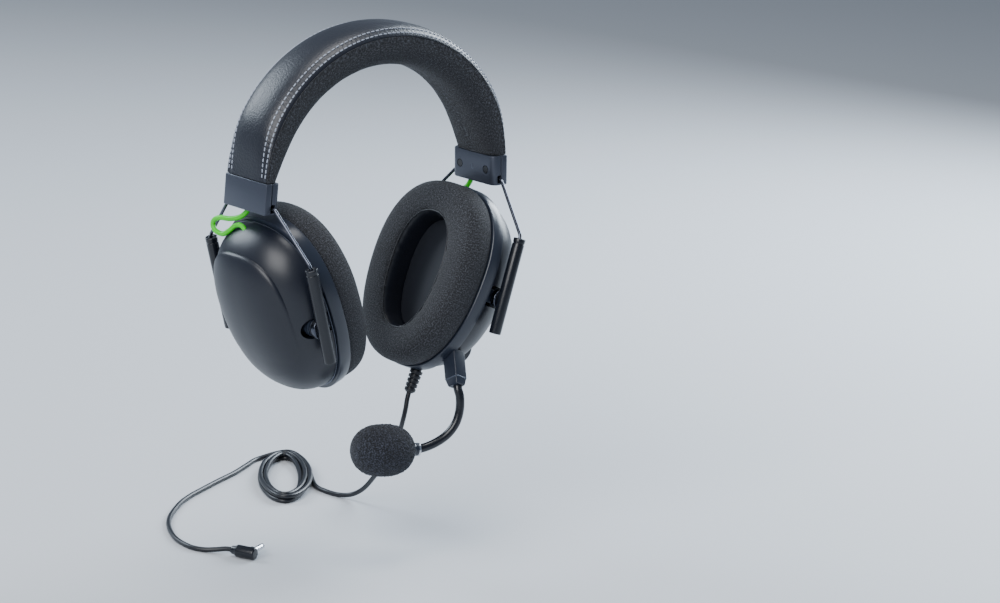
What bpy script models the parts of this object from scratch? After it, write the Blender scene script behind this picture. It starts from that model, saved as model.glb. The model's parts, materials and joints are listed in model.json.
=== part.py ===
"""Over-ear gaming headset: padded headband, wire-and-tube sliders, tilting cups, boom microphone.

Driving dimensions are in millimetres, in a frame whose X is the wearer's left, Y points to the
back of the head and Z is up, with Z = 0 at the top of the band's end caps.  `put` turns them
into metres with the origin under the middle of the headband pad, where the headset hangs.
"""
import math

import bmesh
import bpy
from mathutils import Matrix, Vector

MM = 0.001
Z_REF = 60.0                      # underside of the pad's middle, the object's origin

# fits
GAP = 0.3                         # between neighbouring solids
SLIDE_FIT = 0.5                   # wire in its tube, cable in its hole
TURN_FIT = 0.3                    # pivot pin in its barrel

# headband
BAND_A, BAND_B, BAND_DROP = 90.5, 83.0, 5.0      # seam ellipse: half span, rise, centre below 0
BAND_HALF = 18.2                  # half width of the leather along the seam
BAND_START = math.radians(3.8)
BAND_STATIONS = 31
COVER_END, COVER_MID = 0.8, 6.7   # dome height over the seam at the ends and on top
PAD_END, PAD_MID = 10.0, 18.0     # pad thickness under the seam
PAD_HALF, PAD_CORNER = 18.6, 7.0
SPRING_T = 1.0
SPRING_HALF_END, SPRING_HALF_MID = 9.5, 12.0
SPRING_OFF_END, SPRING_OFF_MID = -5.05, -0.7
SPRING_DEPTH = 14.2               # how far the strip reaches down inside a cap

# end caps, in a frame at the outer top edge that flares outward going down
CAP_X, CAP_FLARE = 91.0, math.radians(3.0)
CAP_HALF, CAP_T, CAP_H = 19.5, 10.8, 18.2
CAP_PLATE = 4.4                   # thickness of the outer plate
CAP_GROOVE = 0.5
SPRING_LINE = -5.7                # middle of the strip inside the cap
SCREW_Y, SCREW_Z = 11.8, -9.0
WIRE_LINE, WIRE_Z = -5.9, -14.33
LINK_X, LINK_Y = -7.6, 5.0

# sliders
WIRE_R = 1.0
TUBE_R, TUBE_LEN, TUBE_BORE, TUBE_BORE_DEPTH = 3.65, 59.0, 1.5, 56.0
TUBE_Y = 47.5
TUBE_TOP = (79.2, -44.8)          # X and Z of the top of a tube
TUBE_LEAN = math.radians(16.25)
PIVOT = (68.36, -81.58)           # X and Z of the tilt axis
HUB_R, HUB_IN, HUB_OUT = 6.0, 42.2, 46.0
PIN_R, PIN_IN = 1.9, 33.0

# ear cups, in a frame on the cushion face: depth outward, y, height
CUP_X, CUP_Y, CUP_Z = 35.0, -0.8, -67.0
CUP_TILT = math.radians(22.5)
CUP_A, CUP_B = 57.0, 43.5         # half height and half width
CUP_POWER, CUP_EGG = 2.3, 0.08
CUP_SEGMENTS = 40
CUSHION_DEPTH = 17.8
HOLE_A, HOLE_B = 35.0, 20.0
HOUSING = (18.1, 26.6)
SHELL_A, SHELL_B, SHELL_WALL = 54.3, 42.0, 2.2
SHELL_RIM, SHELL_BASE, SHELL_RISE, SHELL_POWER = 26.9, 25.5, 33.3, 2.25
BARREL_R, BARREL_IN, BARREL_OUT = 4.3, 30.5, 41.9
POCKET_HALF, POCKET_DEPTH, POCKET_IN, POCKET_WALL = 6.3, 45.0, 29.0, 1.5
PANEL_Y, PANEL_H, PANEL_HALF_Y, PANEL_HALF_H = 1.0, 5.0, 34.5, 39.5
PANEL_POWER = 2.5
PANEL_LIFT, PANEL_TOP = 0.45, 1.35
DRIVER_R = 25.0

# controls on the left cup
KNOB_Y, KNOB_H, KNOB_R = -6.0, -36.0, 9.0
KNOB_BASE, KNOB_TOP = 44.5, 56.5
SHAFT_R = 3.0
MUTE_H, MUTE_DEPTH, MUTE_R, MUTE_Y = -28.0, 34.0, 4.2, 36.6

# microphone: a plug block on a radius of the left cup, then a bent boom
MIC_Y, MIC_H, MIC_DEPTH = -30.0, -42.0, 29.0
MIC_DIR = (0.0, -0.552, -0.833)   # depth, y, height
MIC_LONG = 19.6
MIC_SECTION = (9.5, 9.8)          # along the depth, across the radius
JACK_R = 1.75
BOOM_R = 2.65
BOOM = [(39.9, -44.2, -138.6), (38.6, -45.0, -147.0), (33.1, -44.0, -158.6),
        (25.7, -41.5, -164.3), (17.0, -38.7, -167.9)]
BEND_AT = (38.35, -45.0, -148.6)
FOAM_C, FOAM_AXIS = (-8.7, -33.0, -166.5), (-0.975, 0.21, 0.076)
FOAM_LEN, FOAM_R, FOAM_BORE = 40.0, 15.5, 5.3

# cables
LINK_R = 1.5
LINK_PATH = [(84.25, 5.0, -16.0), (84.4, 5.0, -18.6), (84.8, 7.0, -21.8), (86.0, 11.3, -25.2),
             (88.0, 17.9, -27.3), (89.5, 25.6, -28.0), (90.0, 30.3, -30.2), (90.0, 31.4, -33.6),
             (89.8, 28.7, -36.5), (89.0, 22.9, -37.2), (88.0, 18.5, -34.6), (87.0, 14.3, -31.0),
             (86.5, 10.3, -29.7), (86.2, 6.9, -30.9), (86.0, 5.2, -33.2), (85.5, 4.9, -36.0)]
CORD_R = 1.5
TABLE_Z = -235.0
RELIEF_Y, RELIEF_DEPTH = -5.4, 27.0
RELIEF_TOP, RELIEF_END = -48.2, -71.5
CORD_LEAD = [(33.5, -6.2, -141.16), (32.35, -6.2, -143.94), (31.0, -6.5, -148.0), (29.8, -7.0, -153.0),
             (29.4, -5.0, -162.0), (35.2, 5.5, -175.0), (42.3, 19.3, -187.5),
             (47.6, 33.3, -201.0), (51.5, 47.1, -214.6), (53.6, 59.5, -226.5),
             (52.0, 69.5, -232.6), (47.0, 77.0, -233.5), (43.4, 83.0, -233.5),
             (42.4, 88.0, -233.5)]
COIL_C, COIL_AXIS = (42.1, 124.9), (0.61, 0.79)
COIL_HALF, COIL_WIDE, COIL_BAND, COIL_HIGH = 53.0, 19.5, 12.0, 6.3
CORD_TAIL = [(76.3, 171.0), (67.0, 173.6), (54.0, 168.0), (38.0, 160.0), (21.3, 150.8),
             (3.0, 142.8), (-15.9, 134.0), (-31.5, 126.4), (-46.1, 117.0), (-65.9, 99.5),
             (-78.5, 83.0), (-88.0, 63.0), (-90.2, 46.0), (-86.0, 31.5), (-79.5, 24.0),
             (-75.0, 18.2)]
PLUG_AT, PLUG_AXIS, PLUG_R, PLUG_LEN = (-76.2, 21.5), (0.4, -0.917), 3.75, 15.5
PIN_LEN, PIN_TIP_R = 14.0, 1.75

SIDES = (("left", 1.0), ("right", -1.0))
ENDS = (("front", -1.0), ("rear", 1.0))

COLOURS = {"leather": (0.021, 0.022, 0.027), "foam": (0.020, 0.020, 0.022),
           "plastic": (0.017, 0.019, 0.026), "cap": (0.050, 0.056, 0.070),
           "steel": (0.45, 0.46, 0.48), "gloss": (0.010, 0.011, 0.014),
           "lime": (0.27, 0.62, 0.03), "rubber": (0.018, 0.018, 0.020),
           "board": (0.02, 0.12, 0.05)}


def clear_scene():
    """Remove whatever is in the file."""
    for item in list(bpy.data.objects):
        bpy.data.objects.remove(item, do_unlink=True)


def material(name):
    """The shared Principled material of one colour."""
    found = bpy.data.materials.get(name)
    if found:
        return found
    made = bpy.data.materials.new(name)
    made.use_nodes = True
    shader = made.node_tree.nodes["Principled BSDF"]
    shader.inputs["Base Color"].default_value = (*COLOURS[name], 1.0)
    shader.inputs["Roughness"].default_value = 0.25 if name in ("steel", "gloss") else 0.6
    shader.inputs["Metallic"].default_value = 1.0 if name == "steel" else 0.0
    return made


def put(name, shape, colour, frame=None):
    """Add one closed mesh from millimetre corners; a piece without a colour is a cutter."""
    verts, faces = shape
    mesh = bpy.data.meshes.new(name)
    mesh.from_pydata([tuple(v) for v in verts], [], faces)
    to_metres = Matrix.Scale(MM, 4) @ Matrix.Translation((0.0, 0.0, -Z_REF))
    bm = bmesh.new()
    bm.from_mesh(mesh)
    bmesh.ops.transform(bm, matrix=to_metres @ (frame or Matrix()), verts=bm.verts)
    bmesh.ops.recalc_face_normals(bm, faces=bm.faces)
    bm.to_mesh(mesh)
    bm.free()
    obj = bpy.data.objects.new(name, mesh)
    bpy.context.scene.collection.objects.link(obj)
    if colour is None:
        obj.hide_render = True
        obj.display_type = "WIRE"
    else:
        mesh.materials.append(material(colour))
    return obj


def boolean(target, tool, operation="DIFFERENCE"):
    """Add one exact boolean to a piece."""
    modifier = target.modifiers.new(tool.name, "BOOLEAN")
    modifier.operation = operation
    modifier.solver = "EXACT"
    modifier.object = tool


def cut(target, name, shape, frame=None):
    """Cut a hidden solid out of a piece."""
    boolean(target, put("cut_" + name, shape, None, frame))


def joint_empty(name, point, parent=None):
    """An empty on a joint's axis; the pieces that move with it hang from it."""
    empty = bpy.data.objects.new(name, None)
    empty.empty_display_size = 0.01
    bpy.context.scene.collection.objects.link(empty)
    place = Vector((point[0], point[1], point[2] - Z_REF)) * MM
    empty.location = place - (parent["at"] if parent else Vector())
    if parent:
        empty.parent = parent["empty"]
    return {"empty": empty, "at": place}


def hang(joint, *pieces):
    """Parent pieces to a joint's empty without moving them."""
    for piece in pieces:
        piece.parent = joint["empty"]
        piece.matrix_parent_inverse = Matrix.Translation(-joint["at"])


def loft(rings, closed=False):
    """Quads between rings of equal length; the ends are capped unless the rings close."""
    count = len(rings[0])
    verts = [p for ring in rings for p in ring]
    faces = []
    spans = len(rings) if closed else len(rings) - 1
    for i in range(spans):
        a, b = i * count, ((i + 1) % len(rings)) * count
        for k in range(count):
            n = (k + 1) % count
            faces.append((a + k, a + n, b + n, b + k))
    if not closed:
        faces.append(tuple(range(count)))
        faces.append(tuple(range(len(verts) - count, len(verts))))
    return verts, faces


def box(lo, hi):
    """An axis-aligned block."""
    base = [(lo[0], lo[1]), (hi[0], lo[1]), (hi[0], hi[1]), (lo[0], hi[1])]
    return loft([[(x, y, z) for x, y in base] for z in (lo[2], hi[2])])


def circle(radius, z, count):
    """A ring of points about Z."""
    return [(radius * math.cos(2 * math.pi * k / count), radius * math.sin(2 * math.pi * k / count),
             z) for k in range(count)]


def turned(profile, count=24):
    """A solid of revolution about Z from (radius, z) pairs, capped at both ends."""
    return loft([circle(r, z, count) for r, z in profile])


def rod(radius, start, end, count=24):
    """A plain cylinder along Z."""
    return turned([(radius, start), (radius, end)], count)


def aim(origin, direction):
    """A frame at a point with its Z along a direction."""
    turn = Vector(direction).normalized().to_track_quat("Z", "Y").to_matrix().to_4x4()
    return Matrix.Translation(origin) @ turn


def axes(origin, x, y, z):
    """A frame from three axes; a mirrored one is allowed."""
    rows = [[x[i], y[i], z[i], origin[i]] for i in range(3)]
    return Matrix(rows + [[0.0, 0.0, 0.0, 1.0]])


def rounded(points, radius, steps=4):
    """Replace the inner corners of a path with arcs of one bend radius."""
    path = [Vector(points[0])]
    for before, corner, after in zip(points, points[1:], points[2:]):
        corner = Vector(corner)
        a, b = (Vector(before) - corner).normalized(), (Vector(after) - corner).normalized()
        half = a.angle(b) / 2.0
        reach = radius / math.tan(half)
        centre = corner + (a + b).normalized() * radius / math.sin(half)
        start = (corner + a * reach - centre).normalized()
        end = (corner + b * reach - centre).normalized()
        for k in range(steps + 1):
            path.append(centre + start.slerp(end, k / steps) * radius)
    path.append(Vector(points[-1]))
    return path


def swept(path, radius, count=10):
    """A round bar along a path, capped at both ends."""
    points = [Vector(p) for p in path]
    rings, side = [], None
    for i, point in enumerate(points):
        ahead = (points[min(i + 1, len(points) - 1)] - points[max(i - 1, 0)]).normalized()
        if side is None:
            side = ahead.orthogonal().normalized()
        side = (side - ahead * side.dot(ahead)).normalized()
        other = ahead.cross(side)
        rings.append([tuple(point + radius * (math.cos(t) * side + math.sin(t) * other))
                      for t in (2 * math.pi * k / count for k in range(count))])
    return loft(rings)


def smooth_path(points, spacing):
    """Even points along a Catmull-Rom curve through the chosen ones."""
    pts = [Vector(p) for p in points]
    pts = [2 * pts[0] - pts[1]] + pts + [2 * pts[-1] - pts[-2]]
    fine = []
    for p0, p1, p2, p3 in zip(pts, pts[1:], pts[2:], pts[3:]):
        for k in range(16):
            t = k / 16.0
            fine.append(0.5 * (2 * p1 + (p2 - p0) * t + (2 * p0 - 5 * p1 + 4 * p2 - p3) * t * t
                               + (3 * p1 - p0 - 3 * p2 + p3) * t ** 3))
    fine.append(pts[-2])
    total = sum((b - a).length for a, b in zip(fine, fine[1:]))
    count = max(2, round(total / spacing))
    even, walked, target = [fine[0]], 0.0, total / count
    for a, b in zip(fine, fine[1:]):
        step = (b - a).length
        while len(even) < count and walked + step >= target * len(even):
            even.append(a.lerp(b, (target * len(even) - walked) / step))
        walked += step
    return even[:count] + [fine[-1]]


def cable(name, points, radius, colour, spacing):
    """A flexible tube as a curve object with round, filled ends."""
    curve = bpy.data.curves.new(name, "CURVE")
    curve.dimensions = "3D"
    curve.bevel_depth = radius * MM
    curve.bevel_resolution = 2
    curve.use_fill_caps = True
    path = smooth_path(points, spacing)
    spline = curve.splines.new("POLY")
    spline.points.add(len(path) - 1)
    for point, at in zip(spline.points, path):
        point.co = (at[0] * MM, at[1] * MM, (at[2] - Z_REF) * MM, 1.0)
    curve.materials.append(material(colour))
    obj = bpy.data.objects.new(name, curve)
    bpy.context.scene.collection.objects.link(obj)
    return obj


def band_frame(phi):
    """Point on the seam curve, its outward normal and the 0 to 1 ramp from cap to top."""
    x, z = BAND_A * math.cos(phi), BAND_B * math.sin(phi) - BAND_DROP
    nx, nz = BAND_B * math.cos(phi), BAND_A * math.sin(phi)
    size = math.hypot(nx, nz)
    t = min(max(z / 35.0, 0.0), 1.0)
    return (x, z), (nx / size, nz / size), t * t * (3.0 - 2.0 * t), z


def band_stations():
    """Angles along the seam curve from the left end to the right end."""
    span = math.pi - 2.0 * BAND_START
    return [BAND_START + span * i / (BAND_STATIONS - 1) for i in range(BAND_STATIONS)]


def band_ring(phi, section):
    """Place a (y, offset) section across the band."""
    (x, z), (nx, nz), _, _ = band_frame(phi)
    return [(x + nx * off, y, z + nz * off) for y, off in section]


def spring_offset(ramp):
    return SPRING_OFF_END + (SPRING_OFF_MID - SPRING_OFF_END) * ramp


def spring_half(ramp):
    return SPRING_HALF_END + (SPRING_HALF_MID - SPRING_HALF_END) * ramp


def cover_section(phi):
    """Half-lens section: a shallow dome over a flat seam."""
    _, _, ramp, _ = band_frame(phi)
    high = COVER_END + (COVER_MID - COVER_END) * ramp
    low, edge, steps = GAP / 2, 0.55, 12
    points = []
    for k in range(steps + 1):
        s = -1.0 + 2.0 * k / steps
        points.append((s * BAND_HALF, edge + (high - edge) * (1.0 - abs(s) ** 2.4)))
    return points + [(BAND_HALF, low), (-BAND_HALF, low)]


def pad_section(phi):
    """Pad section with round inner corners and a channel for the strip on its back."""
    _, _, ramp, z = band_frame(phi)
    thick = PAD_END + (PAD_MID - PAD_END) * (1.0 - math.exp(-max(z, 0.0) / 18.0))
    half = spring_half(ramp) + GAP
    floor = spring_offset(ramp) - SPRING_T / 2 - GAP
    top, flat = -GAP / 2, PAD_HALF - PAD_CORNER
    points = [(-PAD_HALF, top), (-half, top), (-half, floor), (half, floor), (half, top),
              (PAD_HALF, top)]
    low = -thick + 0.8
    for sign in (1.0, -1.0):
        arc = [(flat + PAD_CORNER * math.cos(a), low + PAD_CORNER - PAD_CORNER * math.sin(a))
               for a in (math.pi / 2 * k / 4 for k in range(5))]
        if sign < 0:
            arc = arc[::-1]
        points += [(sign * y, off) for y, off in arc]
        if sign > 0:
            points += [(flat / 2, -thick + 0.2), (0.0, -thick), (-flat / 2, -thick + 0.2)]
    return points


def cap_frame(side):
    """Frame of one end cap: X outward, Y back, Z up along the flare."""
    c, s = math.cos(CAP_FLARE), math.sin(CAP_FLARE)
    return axes((side * CAP_X, 0.0, 0.0), (side * c, 0.0, s), (0.0, 1.0, 0.0), (-side * s, 0.0, c))


def build_headband():
    """Leather cover, foam pad and the steel strip between them."""
    cover = loft([band_ring(p, cover_section(p)) for p in band_stations()])
    put("headband_cover", cover, "leather")
    put("headband_pad", loft([band_ring(p, pad_section(p)) for p in band_stations()]), "foam")
    rings = []
    for name, side in SIDES:
        frame, end = cap_frame(side), []
        for z in (-SPRING_DEPTH, -SPRING_DEPTH / 2, -1.2):
            corners = [(SPRING_LINE + SPRING_T / 2, -SPRING_HALF_END, z),
                       (SPRING_LINE + SPRING_T / 2, SPRING_HALF_END, z),
                       (SPRING_LINE - SPRING_T / 2, SPRING_HALF_END, z),
                       (SPRING_LINE - SPRING_T / 2, -SPRING_HALF_END, z)]
            end.append([tuple(frame @ Vector(c)) for c in corners])
        if name == "left":
            rings += end
            for phi in band_stations():
                _, _, ramp, _ = band_frame(phi)
                off, half = spring_offset(ramp), spring_half(ramp)
                up, down = off + SPRING_T / 2, off - SPRING_T / 2
                rings.append(band_ring(phi, [(-half, up), (half, up), (half, down), (-half, down)]))
        else:
            rings += end[::-1]
    put("headband_spring", loft(rings), "steel")


def build_cap(name, side):
    """Two-part end cap with its screws; the strip, wires and link cable go in between."""
    frame = cap_frame(side)
    outline, r = [], 1.2
    for sy, sz, start in ((1, 1, 0.0), (-1, 1, 0.5), (-1, -1, 1.0), (1, -1, 1.5)):
        cy, cz = sy * (CAP_HALF - r), (-r if sz > 0 else -CAP_H + r)
        for k in range(3):
            a = math.pi * (start + 0.25 * k)
            outline.append((cy + r * math.cos(a), cz + r * math.sin(a)))
    layers = [(0.0, 0.5), (-0.5, 0.0), (-CAP_PLATE, 0.0)]
    rings = []
    for x, inset in layers:
        shrink_y, shrink_z = 1.0 - inset / CAP_HALF, 1.0 - 2.0 * inset / CAP_H
        rings.append([(x, y * shrink_y, (z + CAP_H / 2) * shrink_z - CAP_H / 2)
                      for y, z in outline])
    plate = put("cap_outer_" + name, loft(rings), "cap", frame)

    back, r = -CAP_PLATE - CAP_GROOVE, 4.0
    section = [(back, -CAP_HALF + 0.3), (back, CAP_HALF - 0.3)]
    for sign in (1.0, -1.0):
        arc = [(-CAP_T + r - r * math.sin(a), CAP_HALF - 0.3 - r + r * math.cos(a))
               for a in (math.pi / 2 * k / 4 for k in range(5))]
        arc = arc if sign > 0 else arc[::-1]
        section += [(x, sign * y) for x, y in arc]
    rings = []
    for z, inset in ((0.0, 0.0), (-CAP_H + 1.3, 0.0), (-CAP_H + 0.3, 0.5), (-CAP_H, 1.3)):
        rings.append([(min(x + inset, back) if x < back - 0.01 else x,
                       y * (1.0 - 0.6 * inset / CAP_HALF), z) for x, y in section])
    inner = put("cap_inner_" + name, loft(rings), "cap", frame)

    pocket = SPRING_HALF_END + GAP
    cut(inner, "strip_" + name, box((SPRING_LINE - SPRING_T / 2 - GAP, -pocket, -14.6),
                                    (0.0, pocket, 2.0)), frame)
    cut(inner, "link_" + name, rod(LINK_R + 0.4, -CAP_H - 1.0, -15.4),
        frame @ Matrix.Translation((LINK_X, LINK_Y, 0.0)))
    for end, way in ENDS:
        tag = end + "_" + name
        lo, hi = sorted((way * 12.4, way * (CAP_HALF + 2.0)))
        cut(inner, "wire_slot_" + tag, box((-7.4, lo, -17.0), (0.0, hi, WIRE_Z + 2.2)), frame)
        seat = frame @ aim((0.0, way * SCREW_Y, SCREW_Z), (-1.0, 0.0, 0.0))
        cut(inner, "screw_hole_" + tag, turned([(1.4, 3.0), (1.4, CAP_T - 1.4), (2.5, CAP_T - 1.4),
                                                (2.5, CAP_T + 1.0)]), seat)
        cut(plate, "screw_blind_" + tag, rod(1.4, CAP_PLATE - 2.6, CAP_PLATE + 1.0), seat)
        put("cap_screw_" + tag, turned([(1.0, 2.3), (1.0, CAP_T - 1.1), (2.1, CAP_T - 1.1),
                                        (2.1, CAP_T - 0.1)], 16), "steel", seat)


def tube_down(side):
    return Vector((-side * math.sin(TUBE_LEAN), 0.0, -math.cos(TUBE_LEAN)))


def build_slider(name, side):
    """Two steel wires from the cap and the two tubes that slide on them."""
    joint = joint_empty("joint_slider_" + name, (side * TUBE_TOP[0], 0.0, TUBE_TOP[1]))
    frame, down = cap_frame(side), tube_down(side)
    for end, way in ENDS:
        tag = end + "_" + name
        start = frame @ Vector((WIRE_LINE, way * 13.4, WIRE_Z))
        turn = frame @ Vector((WIRE_LINE, way * 20.6, WIRE_Z))
        top = Vector((side * TUBE_TOP[0], way * TUBE_Y, TUBE_TOP[1]))
        path = rounded([start, turn, top - down * 1.3, top + down * 52.0], 3.5)
        put("slider_wire_" + tag, swept(path, WIRE_R), "steel")

        profile = [(TUBE_R - 0.5, TUBE_LEN), (TUBE_R, TUBE_LEN - 0.5), (TUBE_R, 0.4),
                   (TUBE_R - 0.4, 0.0), (TUBE_BORE, 0.0), (TUBE_BORE, TUBE_BORE_DEPTH)]
        tube = put("slider_tube_" + tag, turned(profile), "gloss", aim(top, down))
        seat = aim((side * PIVOT[0], 0.0, PIVOT[1]), (0.0, way, 0.0))
        pin = put("pivot_pin_" + tag, turned([(PIN_R, PIN_IN), (PIN_R, HUB_IN), (HUB_R, HUB_IN),
                                              (HUB_R, HUB_OUT)]), "steel", seat)
        groove = aim(Vector((side * PIVOT[0], way * TUBE_Y, PIVOT[1])), down)
        cut(pin, "groove_" + tag, rod(TUBE_R + GAP, -12.0, 12.0), groove)
        hang(joint, tube, pin)
    return joint


def cup_frame(side, y=CUP_Y):
    """Frame on the cushion face: X is depth (outward), Y back, Z up the cup."""
    c, s = math.cos(CUP_TILT), math.sin(CUP_TILT)
    return axes((side * CUP_X, y, CUP_Z), (side * c, 0.0, -s), (0.0, 1.0, 0.0), (side * s, 0.0, c))


def cup_ring(depth, half_h, half_w, scale=1.0, count=CUP_SEGMENTS):
    """The egg-shaped outline of the cup at one depth, `scale` times its size."""
    ring = []
    for k in range(count):
        a = 2.0 * math.pi * k / count
        r = scale * (abs(math.cos(a) / half_w) ** CUP_POWER
                     + abs(math.sin(a) / half_h) ** CUP_POWER) ** (-1.0 / CUP_POWER)
        h = r * math.sin(a)
        ring.append((depth, r * math.cos(a) * (1.0 + CUP_EGG * h / half_h), h))
    return ring


def mix(ring_a, ring_b, t, depth):
    """A ring part of the way between two others, at its own depth."""
    return [(depth, a[1] + (b[1] - a[1]) * t, a[2] + (b[2] - a[2]) * t)
            for a, b in zip(ring_a, ring_b)]


def dome_depth(y, h, inset=0.0):
    """Depth of the shell's outer surface over a point of the cup's plane."""
    a, b = SHELL_A - inset, SHELL_B - inset
    rho = (abs(y / (b * (1.0 + CUP_EGG * h / a))) ** CUP_POWER
           + abs(h / a) ** CUP_POWER) ** (1.0 / CUP_POWER)
    left = max(1.0 - rho ** SHELL_POWER, 0.0)
    return SHELL_BASE - inset + SHELL_RISE * left ** (1.0 / SHELL_POWER)


def dome_rings(inset, steps):
    """Rings of the shell's dome from the rim to near its top."""
    a, b = SHELL_A - inset, SHELL_B - inset
    rings = [cup_ring(SHELL_RIM, a, b)]
    for k in range(1, steps + 1):
        u = math.pi / 2 * (0.14 + 0.83 * k / steps)
        scale = math.cos(u) ** (2.0 / SHELL_POWER)
        depth = SHELL_BASE - inset + SHELL_RISE * math.sin(u) ** (2.0 / SHELL_POWER)
        rings.append(cup_ring(depth, a, b, scale))
    return rings


def mic_frame(side):
    """Frame of the microphone plug: Z along its radius, X along the cup's depth."""
    z = Vector(MIC_DIR).normalized()
    x = Vector((1.0, 0.0, 0.0))
    return cup_frame(side) @ axes((MIC_DEPTH, MIC_Y, MIC_H), x, z.cross(x), z)


def build_cushion(name, side):
    """Ring cushion, its scrim, and the baffle and driver behind them."""
    frame = cup_frame(side)
    hole, edge = cup_ring(0.0, HOLE_A, HOLE_B), cup_ring(0.0, CUP_A, CUP_B)
    profile = [(0.0, CUSHION_DEPTH), (0.0, 7.0), (0.06, 3.0), (0.2, 0.6), (0.35, 0.0), (0.6, 0.0),
               (0.8, 1.5), (0.93, 5.0), (1.0, 10.0), (1.0, 15.0), (0.96, CUSHION_DEPTH)]
    cushion = put("cushion_" + name, loft([mix(hole, edge, w, d) for w, d in profile], True),
                  "foam", frame)
    scrim = put("scrim_" + name, loft([cup_ring(d, HOLE_A - 0.5, HOLE_B - 0.5)
                                       for d in (15.6, 16.1)]), "foam", frame)
    baffle = put("baffle_" + name, loft([cup_ring(d, CUP_A - 4.4, CUP_B - 4.4)
                                         for d in (HOUSING[0] + 0.1, 20.2)]), "plastic", frame)
    bore = frame @ aim((0.0, 0.0, 0.0), (1.0, 0.0, 0.0))
    cut(baffle, "baffle_" + name, rod(20.0, 17.0, 22.0, 32), bore)
    driver = put("driver_" + name, turned([(DRIVER_R, 20.5), (DRIVER_R, 22.0), (22.0, 22.0),
                                           (22.0, 28.0), (12.0, 28.0), (12.0, 33.0)], 32),
                 "plastic", bore)
    return [cushion, scrim, baffle, driver]


def build_housing(name, side):
    """Ring behind the cushion, with an arm and a barrel for each pivot pin."""
    frame = cup_frame(side)
    outer = [cup_ring(HOUSING[0], CUP_A, CUP_B), cup_ring(HOUSING[0] + 0.6, CUP_A + 0.5, CUP_B + 0.5),
             cup_ring(HOUSING[1] - 0.6, CUP_A + 0.5, CUP_B + 0.5), cup_ring(HOUSING[1], CUP_A, CUP_B)]
    inner = [cup_ring(HOUSING[1], CUP_A - 4.0, CUP_B - 4.0),
             cup_ring(HOUSING[0], CUP_A - 4.0, CUP_B - 4.0)]
    housing = put("mid_housing_" + name, loft(outer + inner, True), "plastic", frame)
    level = cup_frame(side, 0.0)
    depth = (PIVOT[0] - CUP_X) * math.cos(CUP_TILT) - (PIVOT[1] - CUP_Z) * math.sin(CUP_TILT)
    height = (PIVOT[0] - CUP_X) * math.sin(CUP_TILT) + (PIVOT[1] - CUP_Z) * math.cos(CUP_TILT)
    for end, way in ENDS:
        tag = end + "_" + name
        lo, hi = sorted((way * PIN_IN, way * BARREL_OUT))
        arm = put("add_arm_" + tag, box((HOUSING[0] + 2.5, lo, height - BARREL_R),
                                        (depth, hi, height + BARREL_R)), None, level)
        seat = level @ aim((depth, 0.0, height), (0.0, way, 0.0))
        barrel = put("add_barrel_" + tag, rod(BARREL_R, BARREL_IN, BARREL_OUT), None, seat)
        boolean(housing, arm, "UNION")
        boolean(housing, barrel, "UNION")
        cut(housing, "bore_" + tag, rod(PIN_R + TURN_FIT, PIN_IN - 1.0, BARREL_OUT + 2.0), seat)
    return housing


def build_shell(name, side):
    """Domed outer shell with a pocket at each pivot, and the raised panel on it."""
    frame, level = cup_frame(side), cup_frame(side, 0.0)
    outside, inside = dome_rings(0.0, 9), dome_rings(SHELL_WALL, 8)
    shell = put("outer_shell_" + name, loft(outside[::-1] + inside), "plastic", frame)
    height = (PIVOT[0] - CUP_X) * math.sin(CUP_TILT) + (PIVOT[1] - CUP_Z) * math.cos(CUP_TILT)
    for end, way in ENDS:
        tag = end + "_" + name
        wall, slot = [], []
        for shape, half, deep, start in ((wall, POCKET_HALF + POCKET_WALL,
                                          POCKET_DEPTH + POCKET_WALL, SHELL_RIM + 0.05),
                                         (slot, POCKET_HALF, POCKET_DEPTH, SHELL_RIM - 3.0)):
            shape += [(start, height - half), (start, height + half)]
            for k in range(9):
                a = math.pi * (0.5 - k / 8.0)
                shape.append((deep - half + half * math.cos(a), height + half * math.sin(a)))
        block = put("add_pocket_" + tag, loft([[(d, way * y, h) for d, h in wall]
                                               for y in (POCKET_IN - POCKET_WALL, 60.0)]),
                    None, level)
        solid = put("keep_dome_" + tag, loft(dome_rings(0.1, 9)), None, frame)
        boolean(block, solid, "INTERSECT")
        boolean(shell, block, "UNION")
        cut(shell, "pocket_" + tag, loft([[(d, way * y, h) for d, h in slot]
                                          for y in (POCKET_IN, 62.0)]), level)
    path = [Vector((side * x, y, z)) for x, y, z in LINK_PATH[-3:]]
    cut(shell, "link_entry_" + name, swept([path[0] + (path[0] - path[1]) * 0.6] + path[1:]
                                           + [path[2] + (path[2] - path[1]) * 0.8],
                                           LINK_R + SLIDE_FIT, 16))

    rings_out, rings_in, count = [], [], 32
    for scale in (1.0, 0.985, 0.85, 0.6, 0.3, 0.08):
        ring_out, ring_in = [], []
        for k in range(count):
            a = 2.0 * math.pi * k / count
            c, s = math.cos(a), math.sin(a)
            y = PANEL_Y + scale * PANEL_HALF_Y * math.copysign(abs(c) ** (2 / PANEL_POWER), c)
            h = PANEL_H + scale * PANEL_HALF_H * math.copysign(abs(s) ** (2 / PANEL_POWER), s)
            d, e = dome_depth(y, h), 0.05
            slope_y = (dome_depth(y + e, h) - dome_depth(y - e, h)) / (2 * e)
            slope_h = (dome_depth(y, h + e) - dome_depth(y, h - e)) / (2 * e)
            normal = Vector((1.0, -slope_y, -slope_h)).normalized()
            top = PANEL_TOP if scale < 0.99 else PANEL_TOP - 0.45
            ring_out.append(tuple(Vector((d, y, h)) + normal * top))
            ring_in.append(tuple(Vector((d, y, h)) + normal * PANEL_LIFT))
        rings_out.append(ring_out)
        if scale != 0.985:
            rings_in.append(ring_in)
    panel = put("shell_panel_" + name, loft(rings_out[::-1] + rings_in), "plastic", frame)
    return [shell, panel]


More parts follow.
